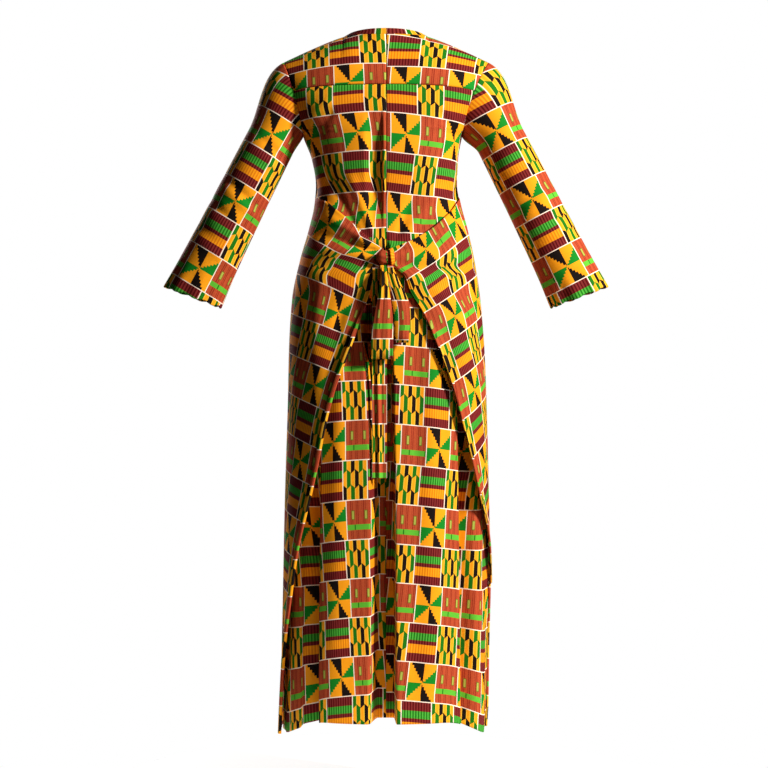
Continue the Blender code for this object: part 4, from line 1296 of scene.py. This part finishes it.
dress(make_front(), "front_panel")
for hand, word in ((1, "left"), (-1, "right")):
    yoke, back, sleeve = "yoke_" + word, "back_" + word, "sleeve_" + word
    dress(make_yoke(hand, "cloth_" + yoke), yoke)
    dress(make_back(hand, "cloth_" + back), back)
    dress(make_sleeve(hand, "cloth_" + sleeve), sleeve)
dress(neck_band(), "neck_band")
dress(make_knot(), "bow_knot")
dress(make_knot_band(), "bow_knot")
left_loop = make_loop("cloth_bow_loop_left", LEFT_LOOP)
dress(left_loop, "bow_loop_left")
right_loop = make_loop("cloth_bow_loop_right", RIGHT_LOOP)
dress(right_loop, "bow_loop_right")
dress(make_tail(), "tie_tail")


# Light: name, place, height it points at on the dress's middle line, size across, power
LIGHTS = [
    ("key", (-3.1, 2.1, 1.1), -0.65, 0.6, 310),
    ("fill", (-1.3, 3.3, 0.2), -0.70, 1.0, 12),
    ("front_key", (1.8, -3.0, 0.9), -0.65, 1.2, 120),
]
FLOOR_Z, FLOOR_RADIUS, FLOOR_GLOW = -1.50, 0.6, 0.5
AMBIENT = 0.02
# The photo's camera: half the picture in pixels, metres to a pixel at the origin, and its place
HALF_PICTURE, PIXEL = 384, 0.00197
CAMERA_X, CAMERA_AWAY, CAMERA_Z = 0.0039, 3.2, -0.6816


def soft_light(name, place, height, size, power):
    data = bpy.data.lights.new(name, "AREA")
    data.shape = "DISK"
    data.size = size
    data.energy = power
    lamp = placed(name, data)
    lamp.location = place
    lamp.rotation_euler = (Vector((0, 0, height)) - Vector(place)).to_track_quat("-Z", "Y").to_euler()


def make_stage():
    """A plain round floor below the hem."""
    floor = bpy.data.meshes.new("floor")
    mesh = bmesh.new()
    bmesh.ops.create_circle(mesh, cap_ends=True, segments=96, radius=FLOOR_RADIUS)
    bmesh.ops.translate(mesh, verts=mesh.verts, vec=(0, 0, FLOOR_Z))
    mesh.to_mesh(floor)
    mesh.free()
    made = placed("floor", floor)
    plain = bpy.data.materials.new("floor_paper")
    plain.use_nodes = True
    shader = plain.node_tree.nodes["Principled BSDF"]
    shader.inputs["Base Color"].default_value = (0.93, 0.93, 0.93, 1.0)
    shader.inputs["Roughness"].default_value = 0.9
    shader.inputs["Emission Color"].default_value = (1.0, 1.0, 1.0, 1.0)
    shader.inputs["Emission Strength"].default_value = FLOOR_GLOW
    floor.materials.append(plain)


def make_world():
    """A white surround, which lights the dress only a little."""
    world = bpy.data.worlds.new("studio")
    world.use_nodes = True
    tree = world.node_tree
    tree.nodes["Background"].inputs["Color"].default_value = (1.0, 1.0, 1.0, 1.0)
    rays = tree.nodes.new("ShaderNodeLightPath")
    strength = tree.nodes.new("ShaderNodeMapRange")
    strength.inputs["To Min"].default_value = AMBIENT
    strength.inputs["To Max"].default_value = 1.0
    tree.links.new(rays.outputs["Is Camera Ray"], strength.inputs["Value"])
    tree.links.new(strength.outputs[0], tree.nodes["Background"].inputs["Strength"])
    bpy.context.scene.world = world


make_stage()
make_world()
for light in LIGHTS:
    soft_light(*light)
bpy.context.scene.view_settings.view_transform = "Standard"

camera = bpy.data.cameras.new("camera")
camera.sensor_width = 36
camera.lens = camera.sensor_width / 2 * CAMERA_AWAY / (HALF_PICTURE * PIXEL)
eye = placed("camera", camera)
eye.location = (CAMERA_X, CAMERA_AWAY, CAMERA_Z)
eye.rotation_euler = (math.pi / 2, 0, math.pi)
bpy.context.scene.camera = eye
